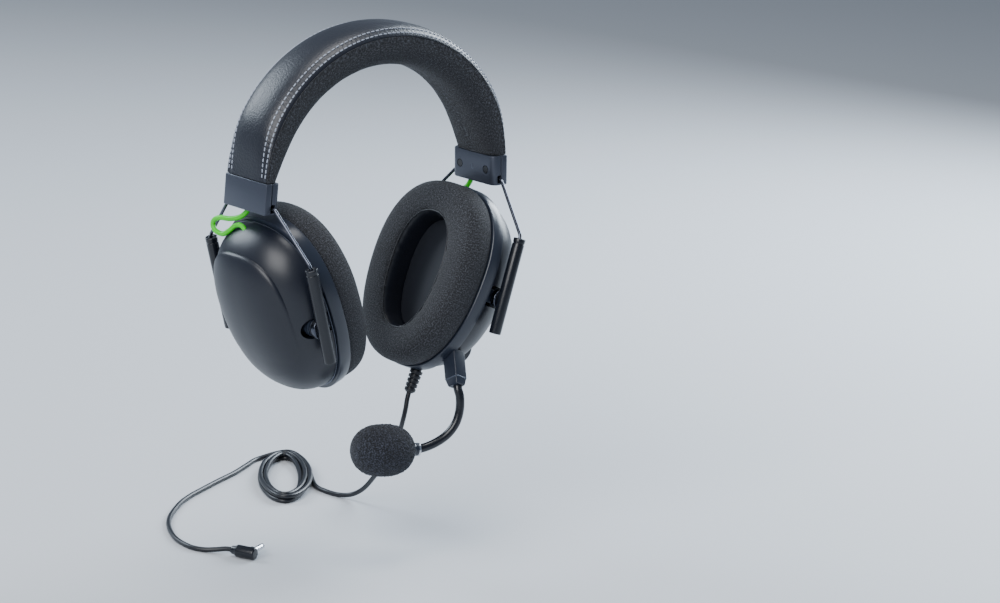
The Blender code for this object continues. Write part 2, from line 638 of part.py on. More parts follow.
def build_controls(cup, shell, panel, frame):
    """Volume knob on its encoder and board, and the mute button, all on the left cup."""
    at = frame @ Vector((50.0, KNOB_Y, KNOB_H))
    knob_joint = joint_empty("joint_volume", at, cup)
    seat = frame @ aim((0.0, KNOB_Y, KNOB_H), (1.0, 0.0, 0.0))
    cut(shell, "knob_hole", rod(KNOB_R + 0.4, 36.0, 70.0, 32), seat)
    cut(panel, "knob_window", rod(KNOB_R + 0.6, 30.0, 70.0, 32), seat)
    bore = SHAFT_R + TURN_FIT
    knob = put("volume_knob", turned([(bore, KNOB_TOP - 5.5), (bore, KNOB_BASE),
                                      (KNOB_R - 0.6, KNOB_BASE), (KNOB_R, KNOB_BASE + 0.6),
                                      (KNOB_R, KNOB_TOP - 0.9), (KNOB_R - 0.9, KNOB_TOP)], 32),
               "plastic", seat)
    hang(knob_joint, knob)
    encoder = put("volume_encoder", turned([(5.6, 33.4), (5.6, 38.5), (SHAFT_R, 38.5),
                                            (SHAFT_R, KNOB_TOP - 6.0)]), "steel", seat)
    board = put("circuit_board", box((31.4, KNOB_Y - 7.0, KNOB_H - 8.5),
                                     (33.0, KNOB_Y + 12.0, KNOB_H + 9.0)), "board", frame)

    at = frame @ Vector((MUTE_DEPTH, MUTE_Y, MUTE_H))
    mute_joint = joint_empty("joint_mute", at, cup)
    seat = frame @ aim((MUTE_DEPTH, 0.0, MUTE_H), (0.0, 1.0, 0.0))
    cut(shell, "mute_hole", rod(MUTE_R + GAP, 20.0, 45.0), seat)
    button = put("mute_button", turned([(5.2, MUTE_Y - 12.6), (5.2, MUTE_Y - 11.6),
                                        (MUTE_R, MUTE_Y - 11.6), (MUTE_R, MUTE_Y - 0.5),
                                        (MUTE_R - 0.5, MUTE_Y)]), "rubber", seat)
    hang(mute_joint, button)
    return [encoder, board]


def build_microphone(cup, shell, housing):
    """Plug block in its socket, two-part boom, capsule and foam windscreen."""
    frame = mic_frame(1.0)
    across, wide = MIC_SECTION[0] / 2, MIC_SECTION[1] / 2
    outline = [(-across, -wide), (across, -wide), (across, wide), (-across, wide)]

    def level(z, inset):
        return [(x - math.copysign(inset, x), y - math.copysign(inset, y), z) for x, y in outline]

    block = loft([level(-2.6, 0.4), level(-2.2, 0.0), level(MIC_LONG - 3.6, 0.0),
                  level(MIC_LONG, 1.7)])
    plug = put("mic_plug", block, "plastic", frame)
    pin = put("add_jack", rod(JACK_R, -15.0, 0.0, 20), None, frame)
    boolean(plug, pin, "UNION")
    cut(plug, "boom_bore", rod(BOOM_R + GAP, MIC_LONG - 3.2, MIC_LONG + 2.0), frame)
    fit = [(x + math.copysign(GAP, x), y + math.copysign(GAP, y)) for x, y in outline]
    pocket = loft([[(x, y, z) for x, y in fit] for z in (-2.9, 30.0)])
    cut(shell, "mic_pocket_shell", pocket, frame)
    cut(housing, "mic_pocket_housing", pocket, frame)
    cut(shell, "jack_hole_shell", rod(JACK_R + 0.35, -22.0, 0.0), frame)
    cut(housing, "jack_hole_housing", rod(JACK_R + 0.35, -22.0, 0.0), frame)
    socket = put("mic_socket", box((-3.4, -3.4, -18.4), (3.4, 3.4, -8.6)), "plastic", frame)
    cut(socket, "socket_bore", rod(JACK_R + GAP, -16.0, -5.0), frame)

    base = frame @ Vector((0.0, 0.0, MIC_LONG - 2.8))
    mic_joint = joint_empty("joint_microphone", tuple(frame @ Vector((0.0, 0.0, 0.0))), cup)
    knee = Vector(BEND_AT)
    path = smooth_path([base, frame @ Vector((0.0, 0.0, MIC_LONG + 1.5))] + BOOM, 2.6)
    near = min(range(len(path)), key=lambda i: (path[i] - knee).length)
    ahead = (path[near + 1] - path[near - 1]).normalized()
    upper = path[:near] + [path[near] - ahead * 0.75]
    lower = [path[near] + ahead * 0.75] + path[near + 1:]
    boom_upper = put("mic_boom_upper", swept(upper, BOOM_R, 14), "gloss")
    hang(mic_joint, plug, boom_upper)

    axis = Vector(FOAM_AXIS).normalized()
    mouth = Vector(FOAM_C) - axis * FOAM_LEN / 2
    bend_joint = joint_empty("joint_mic_bend", BEND_AT, mic_joint)
    lower += smooth_path([Vector(BOOM[-1]), mouth - axis * 2.2], 2.6)[1:]
    boom_lower = put("mic_boom_lower", swept(lower, BOOM_R, 14), "gloss")
    line = aim(mouth, axis)
    capsule = put("mic_capsule", turned([(BOOM_R + GAP, -1.6), (BOOM_R + GAP, -4.2), (3.9, -4.2),
                                         (3.9, 1.0), (FOAM_BORE - 0.5, 1.6),
                                         (FOAM_BORE - 0.5, 16.0)]), "plastic", line)
    profile, half = [(FOAM_BORE, 17.0), (FOAM_BORE, 0.0)], FOAM_LEN / 2
    for k in range(13):
        s = -0.965 + 1.925 * k / 12
        profile.append((FOAM_R * (1.0 - abs(s) ** 2.5) ** 0.5, half * (1.0 + s) if k else 0.0))
    foam = put("mic_foam", turned(profile), "foam", line)
    hang(bend_joint, boom_lower, capsule, foam)
    return [socket]


def build_relief(shell, housing, frame):
    """Ribbed strain relief where the cord leaves the left cup."""
    seat = frame @ aim((RELIEF_DEPTH, RELIEF_Y, 0.0), (0.0, 0.0, -1.0))
    for target, tag in ((shell, "shell"), (housing, "housing")):
        cut(target, "relief_hole_" + tag, rod(2.75, 46.0, 66.0), seat)
    end = -RELIEF_END
    profile = [(3.8, -RELIEF_TOP), (3.8, 49.4), (2.4, 49.4), (2.4, 58.2)]
    for k in range(4):
        z = 58.2 + 3.3 * k
        profile += [(3.6, z), (3.6, z + 2.1), (2.9, z + 2.1), (2.9, z + 3.3)]
    profile = profile[:-2] + [(3.2, end), (CORD_R + GAP, end), (CORD_R + GAP, end - 3.6)]
    return put("strain_relief", turned(profile, 20), "rubber", seat)


def build_cord():
    """Cord from the left cup: a lead to the table, a loose oval coil, a tail and the plug."""
    cable("cord_lead", CORD_LEAD, CORD_R, "rubber", 7.0)
    along = Vector((COIL_AXIS[0], COIL_AXIS[1], 0.0)).normalized()
    across = Vector((along.y, -along.x, 0.0))
    frame = axes((COIL_C[0], COIL_C[1], TABLE_Z), along, across, (0.0, 0.0, 1.0))
    section = [(0.0, 1.6), (0.0, COIL_HIGH - 1.6), (1.6, COIL_HIGH), (COIL_BAND - 1.6, COIL_HIGH),
               (COIL_BAND, COIL_HIGH - 1.6), (COIL_BAND, 1.6), (COIL_BAND - 1.6, 0.0), (1.6, 0.0)]
    rings = []
    for inset, z in section:
        a, b = COIL_HALF - inset, COIL_WIDE - inset
        rings.append([(a * math.cos(t), b * math.sin(t), z)
                      for t in (2 * math.pi * k / 40 for k in range(40))])
    put("cord_coil", loft(rings, True), "rubber", frame)

    axis, rise = Vector((*PLUG_AXIS, 0.0)).normalized(), TABLE_Z + PLUG_R
    low = TABLE_Z + CORD_R
    tail = [(x, y, low) for x, y in CORD_TAIL[:-2]] + [(*CORD_TAIL[-2], low + 1.6)]
    start = Vector((*PLUG_AT, rise))
    tail[-1] = tuple(start - axis * 6.0 + Vector((0.0, 0.0, -0.6)))
    tail.append(tuple(start + axis * 1.2))
    cable("cord_tail", tail, CORD_R, "rubber", 7.5)
    body = [(CORD_R + GAP, 2.0), (CORD_R + GAP, -0.6), (2.4, -0.6), (2.9, 2.2), (PLUG_R, 3.4),
            (PLUG_R, PLUG_LEN - 0.8), (PLUG_R - 0.8, PLUG_LEN)]
    shell = put("plug_body", turned(body, 20), "gloss", aim(start, axis))
    out = Vector((-axis.y, axis.x, 0.0))
    root = start + axis * (PLUG_LEN - 4.2)
    seat = aim(root, out)
    cut(shell, "plug_pin_seat", rod(PIN_TIP_R + 0.4 + GAP, 1.6, 8.0), seat)
    tip = PLUG_R + PIN_LEN
    put("plug_tip", turned([(PIN_TIP_R + 0.4, 2.0), (PIN_TIP_R + 0.4, PLUG_R + 0.6),
                            (PIN_TIP_R, PLUG_R + 0.6), (PIN_TIP_R, tip - 3.6), (1.2, tip - 3.0),
                            (PIN_TIP_R - 0.1, tip - 2.0), (0.6, tip)], 16), "steel", seat)


def main():
    """Build every piece and hang the moving ones from their joints."""
    clear_scene()
    build_headband()
    for name, side in SIDES:
        build_cap(name, side)
        slider = build_slider(name, side)
        cable("link_cable_" + name, [(side * x, y, z) for x, y, z in LINK_PATH], LINK_R, "lime", 4.0)
        cup = joint_empty("joint_cup_" + name, (side * PIVOT[0], 0.0, PIVOT[1]), slider)
        pieces = build_cushion(name, side)
        housing = build_housing(name, side)
        shell, panel = build_shell(name, side)
        pieces += [housing, shell, panel]
        if name == "left":
            frame = cup_frame(side)
            pieces += build_controls(cup, shell, panel, frame)
            pieces += build_microphone(cup, shell, housing)
            pieces.append(build_relief(shell, housing, frame))
        hang(cup, *pieces)
    build_cord()


main()
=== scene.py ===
"""Looks of an over-ear gaming headset: leather and knit headband, tilting cups, boom microphone.

Shapes are worked out in millimetres in a frame whose X is the wearer's left, Y the back of the
head and Z up, with Z = 0 at the top of the band's end caps.  `row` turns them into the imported
model's metres, whose origin is the underside of the middle of the headband pad.
"""
from __future__ import annotations

import json
import logging
import math
from dataclasses import dataclass
from enum import Enum
from typing import Sequence

import bmesh
import bpy
import numpy as np
from mathutils import Matrix, Vector

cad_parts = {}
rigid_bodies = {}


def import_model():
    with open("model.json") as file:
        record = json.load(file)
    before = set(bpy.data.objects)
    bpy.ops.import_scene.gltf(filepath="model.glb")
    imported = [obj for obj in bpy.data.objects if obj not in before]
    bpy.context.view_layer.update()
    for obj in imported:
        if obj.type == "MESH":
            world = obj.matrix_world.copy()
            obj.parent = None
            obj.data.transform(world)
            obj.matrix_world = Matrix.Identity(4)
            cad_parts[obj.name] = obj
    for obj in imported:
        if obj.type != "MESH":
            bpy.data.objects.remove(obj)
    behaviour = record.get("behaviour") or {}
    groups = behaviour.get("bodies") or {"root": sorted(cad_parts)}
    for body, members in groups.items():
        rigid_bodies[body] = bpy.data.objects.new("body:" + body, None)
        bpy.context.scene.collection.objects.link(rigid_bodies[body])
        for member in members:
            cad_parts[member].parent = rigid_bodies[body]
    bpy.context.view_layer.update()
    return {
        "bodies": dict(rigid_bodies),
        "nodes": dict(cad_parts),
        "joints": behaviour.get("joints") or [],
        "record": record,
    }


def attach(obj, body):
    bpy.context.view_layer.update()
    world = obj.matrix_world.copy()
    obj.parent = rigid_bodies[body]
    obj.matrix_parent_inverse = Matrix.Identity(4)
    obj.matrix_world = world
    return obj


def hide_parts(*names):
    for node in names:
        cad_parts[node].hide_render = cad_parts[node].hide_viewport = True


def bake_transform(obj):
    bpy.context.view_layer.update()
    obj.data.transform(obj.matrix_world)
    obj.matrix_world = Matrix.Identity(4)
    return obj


LOG = logging.getLogger("headset")
MM = 0.001
PAD_UNDERSIDE = 60.0
Array = np.ndarray


class Side(Enum):
    """The two ears, with the sign of their X."""

    LEFT = 1.0
    RIGHT = -1.0

    @property
    def word(self) -> str:
        """The side's name as the nodes spell it."""
        return self.name.lower()


class Weave(Enum):
    """Surface patterns a finish can carry."""

    SMOOTH = "smooth"
    GRAIN = "grain"
    KNIT = "knit"
    FOAM = "foam"
    SATIN = "satin"
    RUBBER = "rubber"


# --------------------------------------------------------------------------- finishes


@dataclass(frozen=True)
class Finish:
    """One surface finish.

    Args:
        name: material name.
        colour: base colour, linear RGB.
        rough: roughness.
        metal: metallic share.
        coat: clear coat weight.
        sheen: fabric sheen weight.
        weave: the pattern that the surface carries.
        scale: size of the pattern's cells in millimetres.
        depth: height of the pattern in millimetres.
        fleck: lighter colour that the pattern mixes in.
    """

    name: str
    colour: tuple[float, float, float]
    rough: float = 0.5
    metal: float = 0.0
    coat: float = 0.0
    sheen: float = 0.0
    weave: Weave = Weave.SMOOTH
    scale: float = 1.0
    depth: float = 0.1
    fleck: tuple[float, float, float] = (0.1, 0.1, 0.11)

    def material(self) -> bpy.types.Material:
        """Build the finish once and return its material."""
        made = bpy.data.materials.get(self.name)
        if made:
            return made
        made = bpy.data.materials.new(self.name)
        made.use_nodes = True
        shader = made.node_tree.nodes["Principled BSDF"]
        shader.inputs["Base Color"].default_value = (*self.colour, 1.0)
        shader.inputs["Roughness"].default_value = self.rough
        shader.inputs["Metallic"].default_value = self.metal
        shader.inputs["Coat Weight"].default_value = self.coat
        shader.inputs["Coat Roughness"].default_value = 0.12
        shader.inputs["Sheen Weight"].default_value = self.sheen
        if self.weave is not Weave.SMOOTH:
            self._pattern(made.node_tree, shader)
        return made

    def _pattern(self, tree: bpy.types.NodeTree, shader: bpy.types.Node) -> None:
        """Add the weave's height and colour to the shader.

        Args:
            tree: the material's nodes.
            shader: its Principled node.
        """
        nodes, links = tree.nodes, tree.links
        place = nodes.new("ShaderNodeTexCoord")
        mapping = nodes.new("ShaderNodeMapping")
        on_uv = self.weave is Weave.KNIT
        links.new(place.outputs["UV" if on_uv else "Object"], mapping.inputs["Vector"])
        per_metre = 1.0 / (self.scale * MM)
        ratio = (1.0, 1.35, 1.0) if on_uv else (1.0, 1.0, 1.0)
        mapping.inputs["Scale"].default_value = [per_metre * k for k in ratio]
        cells = nodes.new("ShaderNodeTexVoronoi")
        cells.inputs["Scale"].default_value = 1.0
        cells.inputs["Randomness"].default_value = 0.42 if on_uv else 0.9
        cells.feature = "F1" if self.weave is not Weave.GRAIN else "SMOOTH_F1"
        links.new(mapping.outputs["Vector"], cells.inputs["Vector"])
        speck = nodes.new("ShaderNodeTexNoise")
        speck.inputs["Scale"].default_value = {Weave.KNIT: 0.9, Weave.FOAM: 0.8}.get(self.weave, 2.0)
        speck.inputs["Detail"].default_value = 2.0
        links.new(mapping.outputs["Vector"], speck.inputs["Vector"])

        height = nodes.new("ShaderNodeMath")
        height.operation = "SUBTRACT"
        height.inputs[0].default_value = 1.0
        source = speck.outputs["Fac"] if self.weave in (Weave.SATIN, Weave.RUBBER) else \
            cells.outputs["Distance"]
        links.new(source, height.inputs[1])
        bump = nodes.new("ShaderNodeBump")
        bump.inputs["Strength"].default_value = 0.85
        bump.inputs["Distance"].default_value = self.depth * MM
        links.new(height.outputs[0], bump.inputs["Height"])
        links.new(bump.outputs["Normal"], shader.inputs["Normal"])

        if self.weave in (Weave.KNIT, Weave.FOAM):
            ramp = nodes.new("ShaderNodeValToRGB")
            ramp.color_ramp.elements[0].position = 0.46
            ramp.color_ramp.elements[1].position = 0.72
            links.new(speck.outputs["Fac"], ramp.inputs["Fac"])
            # Colour falls to a third towards each cell's edge, where the bump sits lowest: painted
            # shade in the hollows of the knit and in the foam's pores.
            hollow_shade = nodes.new("ShaderNodeMix")
            hollow_shade.data_type = "RGBA"
            dark = [0.35 * c for c in self.colour]
            hollow_shade.inputs["A"].default_value = (*self.colour, 1.0)
            hollow_shade.inputs["B"].default_value = (*dark, 1.0)
            links.new(cells.outputs["Distance"], hollow_shade.inputs["Factor"])
            mix = nodes.new("ShaderNodeMix")
            mix.data_type = "RGBA"
            links.new(ramp.outputs["Color"], mix.inputs["Factor"])
            links.new(hollow_shade.outputs["Result"], mix.inputs["A"])
            mix.inputs["B"].default_value = (*self.fleck, 1.0)
            links.new(mix.outputs["Result"], shader.inputs["Base Color"])


LEATHER = Finish("grained leather", (0.0085, 0.0105, 0.0175), 0.40, weave=Weave.GRAIN, scale=1.0,
                 depth=0.17)
LEATHERETTE = Finish("smooth leatherette", (0.0045, 0.006, 0.0115), 0.40, weave=Weave.GRAIN,
                     scale=0.8, depth=0.07)
KNIT = Finish("charcoal knit", (0.0065, 0.0075, 0.0115), 0.85, sheen=0.05, weave=Weave.KNIT,
              scale=1.15, depth=0.55, fleck=(0.060, 0.065, 0.080))
FOAM = Finish("open foam", (0.0070, 0.0082, 0.0130), 0.92, sheen=0.05, weave=Weave.FOAM,
              scale=0.70, depth=0.60, fleck=(0.055, 0.062, 0.088))
CAP = Finish("slate satin", (0.050, 0.058, 0.080), 0.34, metal=0.45, weave=Weave.SATIN, scale=0.5,
             depth=0.012)
SHELL = Finish("blue-black satin", (0.0045, 0.0065, 0.0135), 0.38, weave=Weave.SATIN, scale=0.55,
               depth=0.012)
HOUSING = Finish("satin housing", (0.016, 0.021, 0.034), 0.30, weave=Weave.SATIN, scale=0.6,
                 depth=0.008)
DARK = Finish("dark recess", (0.004, 0.0045, 0.006), 0.65)
CHROME = Finish("dark chrome", (0.085, 0.092, 0.115), 0.18, metal=1.0)
BRIGHT = Finish("bright edge", (0.62, 0.64, 0.68), 0.20, metal=1.0)
GLOSS = Finish("gloss black", (0.004, 0.0055, 0.010), 0.27)
LIME = Finish("lime rubber", (0.035, 0.56, 0.006), 0.45)
RUBBER = Finish("black rubber", (0.0055, 0.0070, 0.0115), 0.40, weave=Weave.RUBBER, scale=0.4,
                depth=0.01)
THREAD = Finish("grey thread", (0.30, 0.33, 0.40), 0.7)
SCRIM = Finish("dark scrim", (0.006, 0.008, 0.0145), 0.6, weave=Weave.SATIN, scale=0.7, depth=0.05)
SLEEVE = Finish("black sleeve", (0.0035, 0.0045, 0.008), 0.30)
# Lighter metallic grey: a painted highlight on the shell's rim ring and on the mic plug's chamfer
# band, and the real tone of the raised side letters.
EDGE_HIGHLIGHT_AND_LETTER = Finish("light edge", (0.10, 0.115, 0.15), 0.25, metal=0.7)
GREEN = Finish("green board", (0.01, 0.08, 0.03), 0.4)


# --------------------------------------------------------------------------- mesh helpers


def row(points: Array) -> Array:
    """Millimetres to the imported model's metres."""
    return (np.asarray(points, float) - np.array([0.0, 0.0, PAD_UNDERSIDE])) * MM


def unit(v: Array) -> Array:
    """Vectors of length one along the last axis."""
    v = np.asarray(v, float)
    return v / np.linalg.norm(v, axis=-1, keepdims=True)


@dataclass(frozen=True)
class Frame:
    """A place and three axes, in millimetres.

    Args:
        origin: where the local zero is.
        basis: rows are the local X, Y and Z axes; a mirrored basis is allowed.
    """

    origin: Array
    basis: Array

    def place(self, local: Array) -> Array:
        """Local millimetres to object millimetres."""
        return self.origin + np.asarray(local, float) @ self.basis

    def turn(self, local: Array) -> Array:
        """A local direction as an object direction."""
        return np.asarray(local, float) @ self.basis

    @staticmethod
    def along(origin: Array, axis: Array) -> "Frame":
        """A frame whose Z runs along an axis from a point."""
        z = unit(np.asarray(axis, float))
        helper = np.array([0.0, 1.0, 0.0]) if abs(z[1]) < 0.9 else np.array([1.0, 0.0, 0.0])
        x = unit(np.cross(helper, z))
        return Frame(np.asarray(origin, float), np.array([x, np.cross(z, x), z]))


def surface(name: str, points: Array, wrap: tuple[bool, bool], finish: Finish, *,
            caps: bool = False, size: tuple[float, float] = (100.0, 100.0),
            sharp: float = 40.0, flip: bool = True) -> bpy.types.Object:
    """Join a grid of points into one smooth-shaded mesh.

    Args:
        name: object name.
        points: (rows, columns, 3) array in millimetres.
        wrap: whether the grid closes on itself along its rows and along its columns.
        finish: what it is made of.
        caps: whether the first and last rows are filled.
        size: length of a row-wise and a column-wise trip in millimetres, for the pattern.
        sharp: edges turning more than this many degrees are drawn crisp.
        flip: whether normals are recalculated to point outwards.

    Returns:
        The object, at the origin.
    """
    rows, cols = points.shape[:2]
    i = np.arange(rows if wrap[0] else rows - 1)
    j = np.arange(cols if wrap[1] else cols - 1)
    gi, gj = (g.ravel() for g in np.meshgrid(i, j, indexing="ij"))
    corners = np.stack([gi, gi + 1, gi + 1, gi], -1), np.stack([gj, gj, gj + 1, gj + 1], -1)
    quads = (corners[0] % rows) * cols + corners[1] % cols
    faces = quads.tolist()
    if caps:
        faces += [list(range(cols)), list(range((rows - 1) * cols, rows * cols))[::-1]]
    mesh = bpy.data.meshes.new(name)
    mesh.from_pydata(row(points.reshape(-1, 3)).tolist(), [], faces)
    uv = mesh.uv_layers.new(name="UVMap")
    flat = np.stack([corners[0] / max(len(i), 1) * size[0],
                     corners[1] / max(len(j), 1) * size[1]], -1).reshape(-1, 2) * MM
    padded = np.zeros((len(mesh.loops), 2))
    padded[:len(flat)] = flat
    uv.data.foreach_set("uv", padded.ravel().astype(np.float32))
    return finish_mesh(name, mesh, finish, sharp, flip)


def finish_mesh(name: str, mesh: bpy.types.Mesh, finish: Finish, sharp: float = 40.0,
                flip: bool = True) -> bpy.types.Object:
    """Point a mesh's faces outwards, shade it and link its object."""
    if flip:
        bm = bmesh.new()
        bm.from_mesh(mesh)
        bmesh.ops.recalc_face_normals(bm, faces=bm.faces)
        bm.to_mesh(mesh)
        bm.free()
    mesh.polygons.foreach_set("use_smooth", np.ones(len(mesh.polygons), bool))
    mesh.set_sharp_from_angle(angle=math.radians(sharp))
    mesh.materials.append(finish.material())
    obj = bpy.data.objects.new(name, mesh)
    bpy.context.scene.collection.objects.link(obj)
    return obj


def join(name: str, pieces: Sequence[bpy.types.Object]) -> bpy.types.Object:
    """Join meshes into one object that keeps each one's material."""
    bpy.ops.object.select_all(action="DESELECT")
    for piece in pieces:
        piece.select_set(True)
    bpy.context.view_layer.objects.active = pieces[0]
    bpy.ops.object.join()
    pieces[0].name = name
    return pieces[0]


def carve(target: bpy.types.Object, tool: bpy.types.Object, operation: str = "DIFFERENCE",
          sharp: float = 32.0) -> None:
    """Apply one boolean for good and remove its tool."""
    modifier = target.modifiers.new("carve", "BOOLEAN")
    modifier.operation, modifier.solver, modifier.object = operation, "EXACT", tool
    depsgraph = bpy.context.evaluated_depsgraph_get()
    made = bpy.data.meshes.new_from_object(target.evaluated_get(depsgraph))
    target.modifiers.clear()
    target.data = made
    made.polygons.foreach_set("use_smooth", np.ones(len(made.polygons), bool))
    made.set_sharp_from_angle(angle=math.radians(sharp))
    bpy.data.objects.remove(tool, do_unlink=True)


def turned(name: str, profile: Sequence[tuple[float, float]], frame: Frame, finish: Finish,
           count: int = 64, sharp: float = 30.0, caps: bool = True) -> bpy.types.Object:
    """Turn (radius, height) pairs about the frame's Z: x = r cos t, y = r sin t, z = height."""
    r, z = np.array(profile, float).T
    t = np.linspace(0.0, 2.0 * np.pi, count, endpoint=False)
    local = np.stack([r[:, None] * np.cos(t), r[:, None] * np.sin(t),
                      np.repeat(z[:, None], count, 1)], -1)
    return surface(name, frame.place(local), (False, True), finish, caps=caps, sharp=sharp)


def eased(profile: Sequence[tuple[float, float]], radius: float, steps: int = 4
          ) -> list[tuple[float, float]]:
    """Round the corners of an open (radius, height) profile with quadratic curves."""
    pts = np.array(profile, float)
    out = [tuple(pts[0])]
    for a, b, c in zip(pts, pts[1:], pts[2:]):
        reach = min(radius, 0.45 * np.linalg.norm(b - a), 0.45 * np.linalg.norm(c - b))
        start, end = b + unit(a - b) * reach, b + unit(c - b) * reach
        t = np.linspace(0.0, 1.0, steps + 1)[:, None]
        out += [tuple(p) for p in (1 - t) ** 2 * start + 2 * t * (1 - t) * b + t ** 2 * end]
    out.append(tuple(pts[-1]))
    return out


def curve_through(points: Sequence[Sequence[float]], spacing: float) -> Array:
    """Even points along a Catmull-Rom curve through the chosen ones."""
    p = np.array(points, float)
    p = np.vstack([2 * p[0] - p[1], p, 2 * p[-1] - p[-2]])
    t = np.linspace(0.0, 1.0, 24, endpoint=False)[None, :, None]
    p0, p1, p2, p3 = (p[k:len(p) - 3 + k, None, :] for k in range(4))
    fine = 0.5 * (2 * p1 + (p2 - p0) * t + (2 * p0 - 5 * p1 + 4 * p2 - p3) * t ** 2
                  + (3 * p1 - p0 - 3 * p2 + p3) * t ** 3)
    return respaced(np.vstack([fine.reshape(-1, 3), p[-2]]), spacing)


def respaced(path: Array, spacing: float) -> Array:
    """The same path with points at an even spacing."""
    walked = np.concatenate([[0.0], np.cumsum(np.linalg.norm(np.diff(path, axis=0), axis=1))])
    at = np.linspace(0.0, walked[-1], max(3, int(round(walked[-1] / spacing)) + 1))
    return np.stack([np.interp(at, walked, path[:, k]) for k in range(3)], -1)


def path_length(path: Array) -> float:
    """Length of a path in millimetres."""
    return float(np.linalg.norm(np.diff(path, axis=0), axis=1).sum())


def tube(name: str, path: Array, radius: float | Array, finish: Finish, count: int = 20,
         caps: bool = True) -> bpy.types.Object:
    """Carry a circle along a path on frames that turn as little as they can.

    Args:
        name: object name.
        path: points in millimetres.
        radius: one radius, or one for each point.
        finish: what it is made of.
        count: points round the circle.
        caps: whether the ends are filled.

    Returns:
        The tube: point + r (cos t side + sin t other), with side kept square to the path.
    """
    ahead = unit(np.gradient(path, axis=0))
    side = np.zeros_like(path)
    helper = np.array([0.0, 0.0, 1.0]) if abs(ahead[0][2]) < 0.9 else np.array([1.0, 0.0, 0.0])
    side[0] = unit(np.cross(ahead[0], helper))
    for k in range(1, len(path)):
        side[k] = unit(side[k - 1] - ahead[k] * (side[k - 1] @ ahead[k]))
    other = np.cross(ahead, side)
    t = np.linspace(0.0, 2.0 * np.pi, count, endpoint=False)[None, :, None]
    r = np.broadcast_to(np.asarray(radius, float), len(path))[:, None, None]
    points = path[:, None] + r * (np.cos(t) * side[:, None] + np.sin(t) * other[:, None])
    return surface(name, points, (False, True), finish, caps=caps,
                   size=(path_length(path), 6.3 * float(np.mean(radius))))


def block(name: str, lo: Sequence[float], hi: Sequence[float], frame: Frame, finish: Finish,
          bevel: float = 0.0) -> bpy.types.Object:
    """A block between two corners with rounded edges."""
    x, y, z = zip(lo, hi)
    ring = np.array([(x[0], y[0]), (x[1], y[0]), (x[1], y[1]), (x[0], y[1])])
    points = np.stack([np.column_stack([ring, np.full(4, k)]) for k in z])
    obj = surface(name, frame.place(points), (False, True), finish, caps=True)
    if bevel:
        modifier = obj.modifiers.new("edges", "BEVEL")
        modifier.width, modifier.segments, modifier.limit_method = bevel * MM, 3, "ANGLE"
        depsgraph = bpy.context.evaluated_depsgraph_get()
        obj.data = bpy.data.meshes.new_from_object(obj.evaluated_get(depsgraph))
        obj.modifiers.clear()
        obj.data.polygons.foreach_set("use_smooth", np.ones(len(obj.data.polygons), bool))
        obj.data.set_sharp_from_angle(angle=math.radians(35.0))
    return obj


def settle(piece: bpy.types.Object, body: str, nodes: Sequence[str] = ()) -> None:
    """Let a piece ride on its body and stand for its nodes, which are hidden."""
    if nodes:
        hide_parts(*nodes)
    if body:
        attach(piece, body)
    LOG.info("%s on %s: %d faces", piece.name, body or "two bodies", len(piece.data.polygons))


def inflate(obj: bpy.types.Object, held: Array, pressure: float, frames: int = 18) -> None:
    """Puff a closed cover with a short cloth simulation and keep the result.

    Args:
        obj: the cover.
        held: weight of each vertex that stays put.
        pressure: pressure inside.
        frames: length of the simulation.
    """
    group = obj.vertex_groups.new(name="held")
    for k in np.flatnonzero(held > 0.01):
        group.add([int(k)], float(held[k]), "REPLACE")
    cloth = obj.modifiers.new("puff", "CLOTH")
    settings = cloth.settings
    settings.quality, settings.mass, settings.air_damping = 5, 0.3, 4.0
    settings.tension_stiffness = settings.compression_stiffness = 40.0
    settings.shear_stiffness, settings.bending_stiffness = 20.0, 8.0
    settings.use_pressure, settings.uniform_pressure_force = True, pressure
    settings.effector_weights.gravity = 0.0
    settings.vertex_group_mass = "held"
    cloth.point_cache.frame_start, cloth.point_cache.frame_end = 1, frames
    scene = bpy.context.scene
    for k in range(1, frames + 1):
        scene.frame_set(k)
    depsgraph = bpy.context.evaluated_depsgraph_get()
    puffed = bpy.data.meshes.new_from_object(obj.evaluated_get(depsgraph))
    found = np.empty(len(puffed.vertices) * 3)
    puffed.vertices.foreach_get("co", found)
    obj.modifiers.clear()
    obj.vertex_groups.clear()
    scene.frame_set(1)
    obj.data.vertices.foreach_set("co", found)
    obj.data.update()


# --------------------------------------------------------------------------- headband


